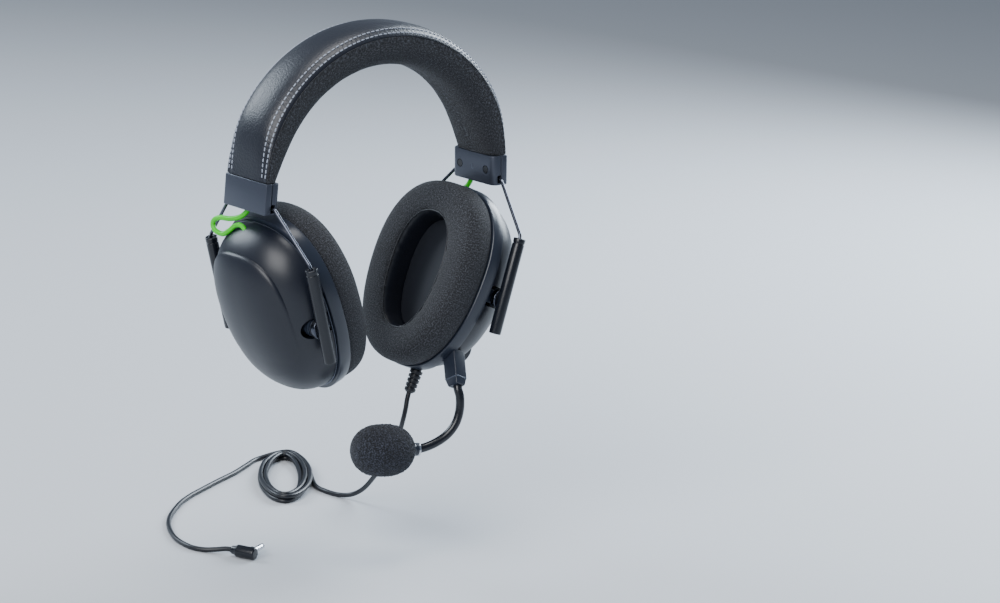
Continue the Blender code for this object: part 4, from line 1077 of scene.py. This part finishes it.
@dataclass
class Microphone:
    """Plug block on the left cup, bent boom, collar and foam windscreen."""

    cup: Cup
    at: tuple[float, float, float] = (29.0, -30.0, -42.0)
    direction: tuple[float, float] = (-0.552, -0.833)
    long: float = 19.6
    section: tuple[float, float] = (9.5, 9.8)
    boom_radius: float = 2.65
    foam_centre: tuple[float, float, float] = (-8.7, -33.0, -166.5)
    foam_axis: tuple[float, float, float] = (-0.975, 0.21, 0.076)
    foam_length: float = 40.0
    foam_radius: float = 15.5

    @property
    def frame(self) -> Frame:
        """Frame of the plug: Z along its radius, X along the cup's depth."""
        cup = self.cup.frame()
        z = unit(np.array([0.0, *self.direction]))
        x = np.array([1.0, 0.0, 0.0])
        return Frame(cup.place(self.at), np.array([x, np.cross(z, x), z]) @ cup.basis)

    def plug(self, shell: bpy.types.Object, ring: bpy.types.Object) -> list[bpy.types.Object]:
        """Chamfered block with a painted highlight line on its end chamfer, and its jack pin."""
        a, w = self.section[0] / 2, self.section[1] / 2
        levels = [(-2.6, 0.5), (-2.2, 0.0), (self.long - 4.6, 0.0), (self.long - 3.9, 0.25),
                  (self.long - 0.5, 1.0), (self.long, 1.4)]
        corner, steps = 0.9, 32
        t = np.linspace(0.0, 2 * np.pi, steps, endpoint=False)

        def section(z: float, inset: float) -> Array:
            """Outline of the block at height z: a rectangle with rounded corners."""
            x = np.sign(np.cos(t)) * (a - inset - corner) + corner * np.cos(t)
            y = np.sign(np.sin(t)) * (w - inset - corner) + corner * np.sin(t)
            return np.column_stack([x, y, np.full(steps, z)])

        rings = np.array([section(z, inset) for z, inset in levels])
        body = surface("plug_block", self.frame.place(rings), (False, True), HOUSING,
                       caps=True, sharp=25.0)
        # A thin band of lighter metallic finish over the step of the end chamfer: a painted highlight.
        edge = [(self.long - 4.75, 0.02), (self.long - 4.6, -0.06), (self.long - 3.95, 0.28),
                (self.long - 4.1, 0.45)]
        line = np.array([section(z, inset) for z, inset in edge])
        trim = surface("plug_line", self.frame.place(line), (True, True), EDGE_HIGHLIGHT_AND_LETTER, sharp=25.0)
        pin = turned("jack", eased([(0.02, -15.0), (0.9, -14.6), (1.6, -13.2), (1.75, -12.8),
                                    (1.75, -2.6), (0.02, -2.6)], 0.2), self.frame, BRIGHT, 32)
        fit = 0.3
        pocket = block("pocket", (-a - fit, -w - fit, -2.9), (a + fit, w + fit, 30.0), self.frame,
                       DARK)
        copy = bpy.data.objects.new("pocket_copy", pocket.data.copy())
        bpy.context.scene.collection.objects.link(copy)
        carve(shell, pocket)
        carve(ring, copy)
        return [body, pin, trim]

    def boom(self) -> bpy.types.Object:
        """The bent boom as one tube, from inside the block to inside the collar."""
        axis = unit(self.foam_axis)
        mouth = np.array(self.foam_centre) - axis * self.foam_length / 2
        path = curve_through([self.frame.place([0.9, 0.0, self.long - 2.0]),
                              self.frame.place([1.0, 0.0, self.long + 1.5]), (40.2, -44.4, -138.6),
                              (39.7, -45.1, -146.5), (37.0, -45.0, -154.2), (31.9, -43.6, -160.6),
                              (25.0, -41.3, -165.1), (17.4, -38.8, -167.7), mouth + axis * 0.5], 0.9)
        return tube("boom", path, self.boom_radius, GLOSS, 28)

    def foam(self) -> bpy.types.Object:
        """Egg windscreen: r = R sqrt(1 - |s|^2.5), roughened cell by cell."""
        line = Frame.along(np.array(self.foam_centre), self.foam_axis)
        rows, columns = 90, 150
        s = -np.cos(np.linspace(0.28, math.pi, rows))
        t = np.linspace(0.0, 2 * np.pi, columns, endpoint=False)
        rng = np.random.default_rng(7)
        r = self.foam_radius * np.sqrt(np.clip(1.0 - np.abs(s) ** 2.5, 0.0, None)) + 0.02
        rough = rng.normal(0.0, 0.16, (rows, columns)) * np.clip(r / 6.0, 0.0, 1.0)[:, None]
        rr = r[:, None] + rough
        z = np.repeat((s * self.foam_length / 2)[:, None], columns, 1)
        local = np.stack([rr * np.cos(t), rr * np.sin(t), z], -1)
        return surface("windscreen", line.place(local), (False, True), FOAM, caps=True, sharp=180.0)

    def build(self, shell: bpy.types.Object, ring: bpy.types.Object) -> None:
        """Build the microphone and settle it on its two bodies."""
        body, pin, trim = self.plug(shell, ring)
        settle(body, "microphone", ["mic_plug"])
        settle(trim, "microphone", ())
        settle(pin, "microphone", ())
        boom = self.boom()
        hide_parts("mic_boom_upper", "mic_boom_lower")
        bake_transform(boom)
        axis = unit(self.foam_axis)
        mouth = np.array(self.foam_centre) - axis * self.foam_length / 2
        collar = turned("collar", eased([(2.66, -4.2), (3.9, -4.2), (3.9, -0.6), (4.8, 0.2),
                                         (4.8, 16.0), (0.02, 16.0)], 0.4),
                        Frame.along(mouth, axis), HOUSING, 48)
        settle(collar, "mic_tip", ["mic_capsule"])
        trim = turned("collar_line", [(3.92, -4.0), (3.98, -3.7), (3.98, -3.2), (3.92, -2.9)],
                      Frame.along(mouth, axis), BRIGHT, 48, caps=False)
        settle(trim, "mic_tip", ())
        foam = self.foam()
        settle(foam, "mic_tip", ["mic_foam"])


# --------------------------------------------------------------------------- cables


@dataclass
class LinkCable:
    """Lime cable from the end cap to the top of one cup, looping back on its way."""

    side: Side
    radius: float = 1.5
    points: tuple[tuple[float, float, float], ...] = (
        (84.25, 5.0, -16.0), (84.4, 5.0, -18.6), (84.8, 7.0, -21.8), (86.0, 11.3, -25.2),
        (88.0, 17.9, -27.3), (89.5, 25.6, -28.0), (90.0, 30.3, -30.2), (90.0, 31.4, -33.6),
        (89.8, 28.7, -36.5), (89.0, 22.9, -37.2), (88.0, 18.5, -34.6), (87.0, 14.3, -31.0),
        (86.5, 10.3, -29.7), (86.2, 6.9, -30.9), (86.0, 5.2, -33.2), (85.5, 4.9, -36.0))

    def build(self) -> None:
        """Build the cable in two pieces, split where it reaches furthest back."""
        word = self.side.word
        path = curve_through(np.array(self.points) * [self.side.value, 1.0, 1.0], 0.6)
        half = int(np.argmax(path[:, 1]))
        parts = (("upper", path[:half + 1], "headband", "slider_" + word, path[4], path[half]),
                 ("lower", path[half:], "slider_" + word, "cup_" + word, path[half], path[-8]))
        for tag, part, above, below, start, end in parts:
            piece = tube(f"link_{tag}_{word}", part, self.radius, LIME, 20)
            if tag == "upper":
                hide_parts("link_cable_" + word)
            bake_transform(piece)


@dataclass
class Cord:
    """Cord from the left cup down to the table, a loose oval coil, a tail and the plug."""

    radius: float = 1.5
    table: float = -235.0
    stated: float = 1.3
    coil_centre: tuple[float, float] = (42.1, 124.9)
    coil_axis: tuple[float, float] = (0.61, 0.79)
    coil_half: tuple[float, float] = (50.2, 17.2)
    pitch: float = 3.5
    turns: float = 4.25
    lead: tuple[tuple[float, float, float], ...] = (
        (33.5, -6.2, -141.16), (32.35, -6.2, -143.94), (31.0, -6.5, -148.0), (29.8, -7.0, -153.0),
        (29.4, -5.0, -162.0), (35.2, 5.5, -175.0), (42.3, 19.3, -187.5), (47.6, 33.3, -201.0),
        (51.5, 47.1, -214.6), (53.2, 58.5, -225.0), (52.4, 68.5, -231.2), (49.4, 78.0, -233.4),
        (47.4, 89.0, -233.5), (49.6, 102.0, -233.5))
    tail: tuple[tuple[float, float], ...] = (
        (54.0, 168.0), (38.0, 160.0), (21.3, 150.8), (3.0, 142.8), (-15.9, 134.0), (-31.5, 126.4),
        (-46.1, 117.0), (-65.9, 99.5), (-78.5, 83.0), (-88.0, 63.0), (-90.2, 46.0), (-87.0, 37.0))
    plug_at: tuple[float, float] = (-76.2, 21.5)
    plug_axis: tuple[float, float] = (0.4, -0.917)

    def coil(self) -> Array:
        """Oval spiral (a cos t, b sin t): inward on the table, then outward lying on itself."""
        along = unit(np.array([*self.coil_axis, 0.0]))
        across = np.array([along[1], -along[0], 0.0])
        t = np.linspace(math.pi / 2, math.pi / 2 - 2 * math.pi * self.turns, 500)
        share = np.linspace(0.0, 1.0, 500)
        inward = self.pitch * self.turns * (0.5 - np.abs(share - 0.5))
        upper = np.clip((share - 0.44) / 0.1, 0.0, 1.0)
        upper = upper * upper * (3 - 2 * upper)
        a = self.coil_half[0] - inward + 1.2 * np.sin(1.3 * t)
        b = self.coil_half[1] - inward + 0.8 * upper * np.sin(2.1 * t)
        z = self.table + self.radius + 3.05 * upper
        centre = np.array([*self.coil_centre, 0.0])
        return centre + (a * np.cos(t))[:, None] * along + (b * np.sin(t))[:, None] * across + \
            np.stack([0 * z, 0 * z, z], -1)

    def path(self) -> Array:
        """The whole centreline, from the relief to the plug."""
        low = self.table + self.radius
        coil = self.coil()[6::12]
        tail = [(x, y, low) for x, y in self.tail]
        axis = unit(np.array([*self.plug_axis, 0.0]))
        start = np.array([*self.plug_at, self.table + 3.75])
        ends = [start - axis * 9.0 + [-2.4, 1.6, -1.6], start - axis * 4.5 + [0.0, 0.0, -0.3],
                start + axis * 1.4]
        return curve_through(list(self.lead) + list(coil) + tail + ends, 1.0)

    def relief(self, cup: Cup) -> bpy.types.Object:
        """Ribbed strain relief with softened ribs."""
        seat = Frame.along(cup.frame().place([27.0, -5.4, 0.0]), cup.frame().turn([0.0, 0.0, -1.0]))
        profile = [(0.02, 52.0), (2.9, 52.0), (2.9, 57.4)]
        for k in range(5):
            z, r = 57.4 + 2.75 * k, 4.0 - 0.13 * k
            profile += [(r - 0.15, z), (r, z + 0.3), (r - 0.05, z + 1.9), (r - 0.25, z + 2.1),
                        (2.9, z + 2.15), (2.9, z + 2.75)]
        profile = profile[:-2] + [(2.3, 71.2), (2.2, 71.5), (1.5, 71.5), (1.5, 68.5), (0.02, 68.5)]
        return turned("relief", eased(profile, 0.12, 2), seat, RUBBER, 40)

    def plug(self) -> list[bpy.types.Object]:
        """Right-angle plug: tapered relief, body and banded pin."""
        axis = unit(np.array([*self.plug_axis, 0.0]))
        start = np.array([*self.plug_at, self.table + 3.75])
        body = turned("plug_shell", eased([(1.5, 2.0), (1.5, -0.6), (2.3, -0.6), (2.9, 2.2),
                                           (3.75, 3.4), (3.75, 14.8), (3.1, 15.5), (0.02, 15.5)],
                                          0.5), Frame.along(start, axis), GLOSS, 48)
        out = np.array([-axis[1], axis[0], 0.0])
        seat = Frame.along(start + axis * 11.3, out)
        nose = turned("plug_collar", eased([(2.9, 2.0), (2.9, 4.2), (2.2, 4.5), (0.02, 4.5)], 0.2),
                      seat, GLOSS, 40)
        tip = 17.75
        pin = turned("plug_pin", eased([(0.02, 4.4), (1.75, 4.4), (1.75, 8.0), (1.6, 8.05),
                                        (1.6, 8.4), (1.75, 8.45), (1.75, 11.2), (1.6, 11.25),
                                        (1.6, 11.6), (1.75, 11.65), (1.75, tip - 3.6),
                                        (1.2, tip - 3.0), (1.65, tip - 2.0), (0.6, tip),
                                        (0.02, tip)], 0.15), seat, BRIGHT, 32)
        return [body, nose, pin]

    def build(self, cup: Cup) -> None:
        """Build the cord in two lengths, its relief and its plug, and log the centreline's length."""
        settle(self.relief(cup), cup.body, ["strain_relief"])
        body, nose, pin = self.plug()
        settle(body, "headband", ["plug_body"])
        settle(nose, "headband", ())
        settle(pin, "headband", ["plug_tip"])
        path = self.path()
        walked = np.concatenate([[0.0], np.cumsum(np.linalg.norm(np.diff(path, axis=0), axis=1))])
        cut = int(np.searchsorted(walked, 52.0))
        neck_path, main_path = path[:cut + 1], path[cut:]
        neck = tube("cord_neck", neck_path, self.radius, RUBBER, 20)
        main = tube("cord_main", main_path, self.radius, RUBBER, 16)
        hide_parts("cord_lead", "cord_coil", "cord_tail")
        cup.body
        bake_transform(neck)
        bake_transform(main)
        neck_long, main_long = path_length(neck_path) * MM, path_length(main_path) * MM
        LOG.info("cord centreline %.3f m of %.2f m", neck_long + main_long, self.stated)


# --------------------------------------------------------------------------- studio


@dataclass
class Studio:
    """Pale floor, soft lights and the camera."""

    floor: float = -235.0
    lens: float = 115.2
    azimuth: float = math.radians(-42.048)
    elevation: float = math.radians(13.86)
    roll: float = math.radians(2.849)
    camera_at: tuple[float, float, float] = (-1177.6, -1426.0, 376.1)

    def camera(self) -> None:
        """Place the camera and make it the scene's."""
        a, e, r = self.azimuth, self.elevation, self.roll
        back = np.array([math.sin(a) * math.cos(e), -math.cos(a) * math.cos(e), math.sin(e)])
        right = np.array([math.cos(a), math.sin(a), 0.0])
        up = np.cross(back, right)
        right, up = math.cos(r) * right + math.sin(r) * up, math.cos(r) * up - math.sin(r) * right
        data = bpy.data.cameras.new("camera")
        data.lens, data.sensor_width, data.clip_end = self.lens, 36.0, 20.0
        obj = bpy.data.objects.new("camera", data)
        at = row(np.array(self.camera_at))
        obj.matrix_world = Matrix([[right[k], up[k], back[k], at[k]] for k in range(3)]
                                  + [[0, 0, 0, 1]])
        bpy.context.scene.collection.objects.link(obj)
        bpy.context.scene.camera = obj

    def light(self, name: str, at: Sequence[float], size: float, power: float,
              colour: tuple[float, float, float] = (1.0, 1.0, 1.0)) -> None:
        """Add one soft area light aimed at the middle of the headset."""
        data = bpy.data.lights.new(name, "AREA")
        data.shape, data.size, data.energy, data.color = "SQUARE", size, power, colour
        obj = bpy.data.objects.new(name, data)
        obj.location = at
        aim = Vector((0.0, 0.0, -0.12)) - Vector(at)
        obj.rotation_euler = aim.to_track_quat("-Z", "Y").to_euler()
        bpy.context.scene.collection.objects.link(obj)

    def build(self) -> None:
        """Build the floor, the world and the lights."""
        self.camera()
        mesh = bpy.data.meshes.new("floor")
        z = (self.floor - PAD_UNDERSIDE) * MM
        mesh.from_pydata([(-6, -6, z), (6, -6, z), (6, 6, z), (-6, 6, z)], [], [(0, 1, 2, 3)])
        mesh.materials.append(Finish("pale floor", (0.50, 0.52, 0.55), 0.65).material())
        floor = bpy.data.objects.new("floor", mesh)
        bpy.context.scene.collection.objects.link(floor)
        world = bpy.data.worlds.new("studio")
        world.use_nodes = True
        world.node_tree.nodes["Background"].inputs["Color"].default_value = (0.62, 0.74, 0.92, 1.0)
        world.node_tree.nodes["Background"].inputs["Strength"].default_value = 0.30
        bpy.context.scene.world = world
        self.light("key", (-1.6, -0.6, 1.0), 1.4, 44.0)
        self.light("rim", (1.3, 0.2, 0.5), 0.9, 40.0, (0.80, 0.90, 1.0))
        self.light("back", (-0.6, 1.7, 0.9), 0.9, 30.0, (0.80, 0.90, 1.0))
        self.light("top", (0.0, 0.0, 1.5), 0.8, 16.0)


def repaint(nodes: dict[str, bpy.types.Object]) -> None:
    """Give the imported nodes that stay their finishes.

    Args:
        nodes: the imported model's objects by name.
    """
    finishes = {"headband_spring": CHROME, "cap_screw": SLEEVE, "baffle": DARK, "driver": DARK,
                "scrim": SCRIM, "volume_encoder": CHROME, "circuit_board": GREEN,
                "mic_socket": DARK}
    for name, obj in nodes.items():
        for start, finish in finishes.items():
            if name.startswith(start) and obj.material_slots:
                obj.material_slots[0].link = "OBJECT"
                obj.material_slots[0].material = finish.material()


def main() -> None:
    """Build the headset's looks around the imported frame."""
    logging.basicConfig(level=logging.INFO, format="%(name)s: %(message)s")
    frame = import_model()
    Studio().build()
    repaint(frame["nodes"])
    Headband().build()
    for side in Side:
        cap = EndCap(side)
        cap.build()
        Slider(side, cap).build()
        LinkCable(side).build()
        cup = Cup(side)
        shell, panel = cup.build()
        if side is Side.LEFT:
            Controls(cup).build(shell, panel)
            Microphone(cup).build(shell, bpy.data.objects["housing_ring_left"])
            Cord().build(cup)
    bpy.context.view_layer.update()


if __name__ == "__main__":
    main()
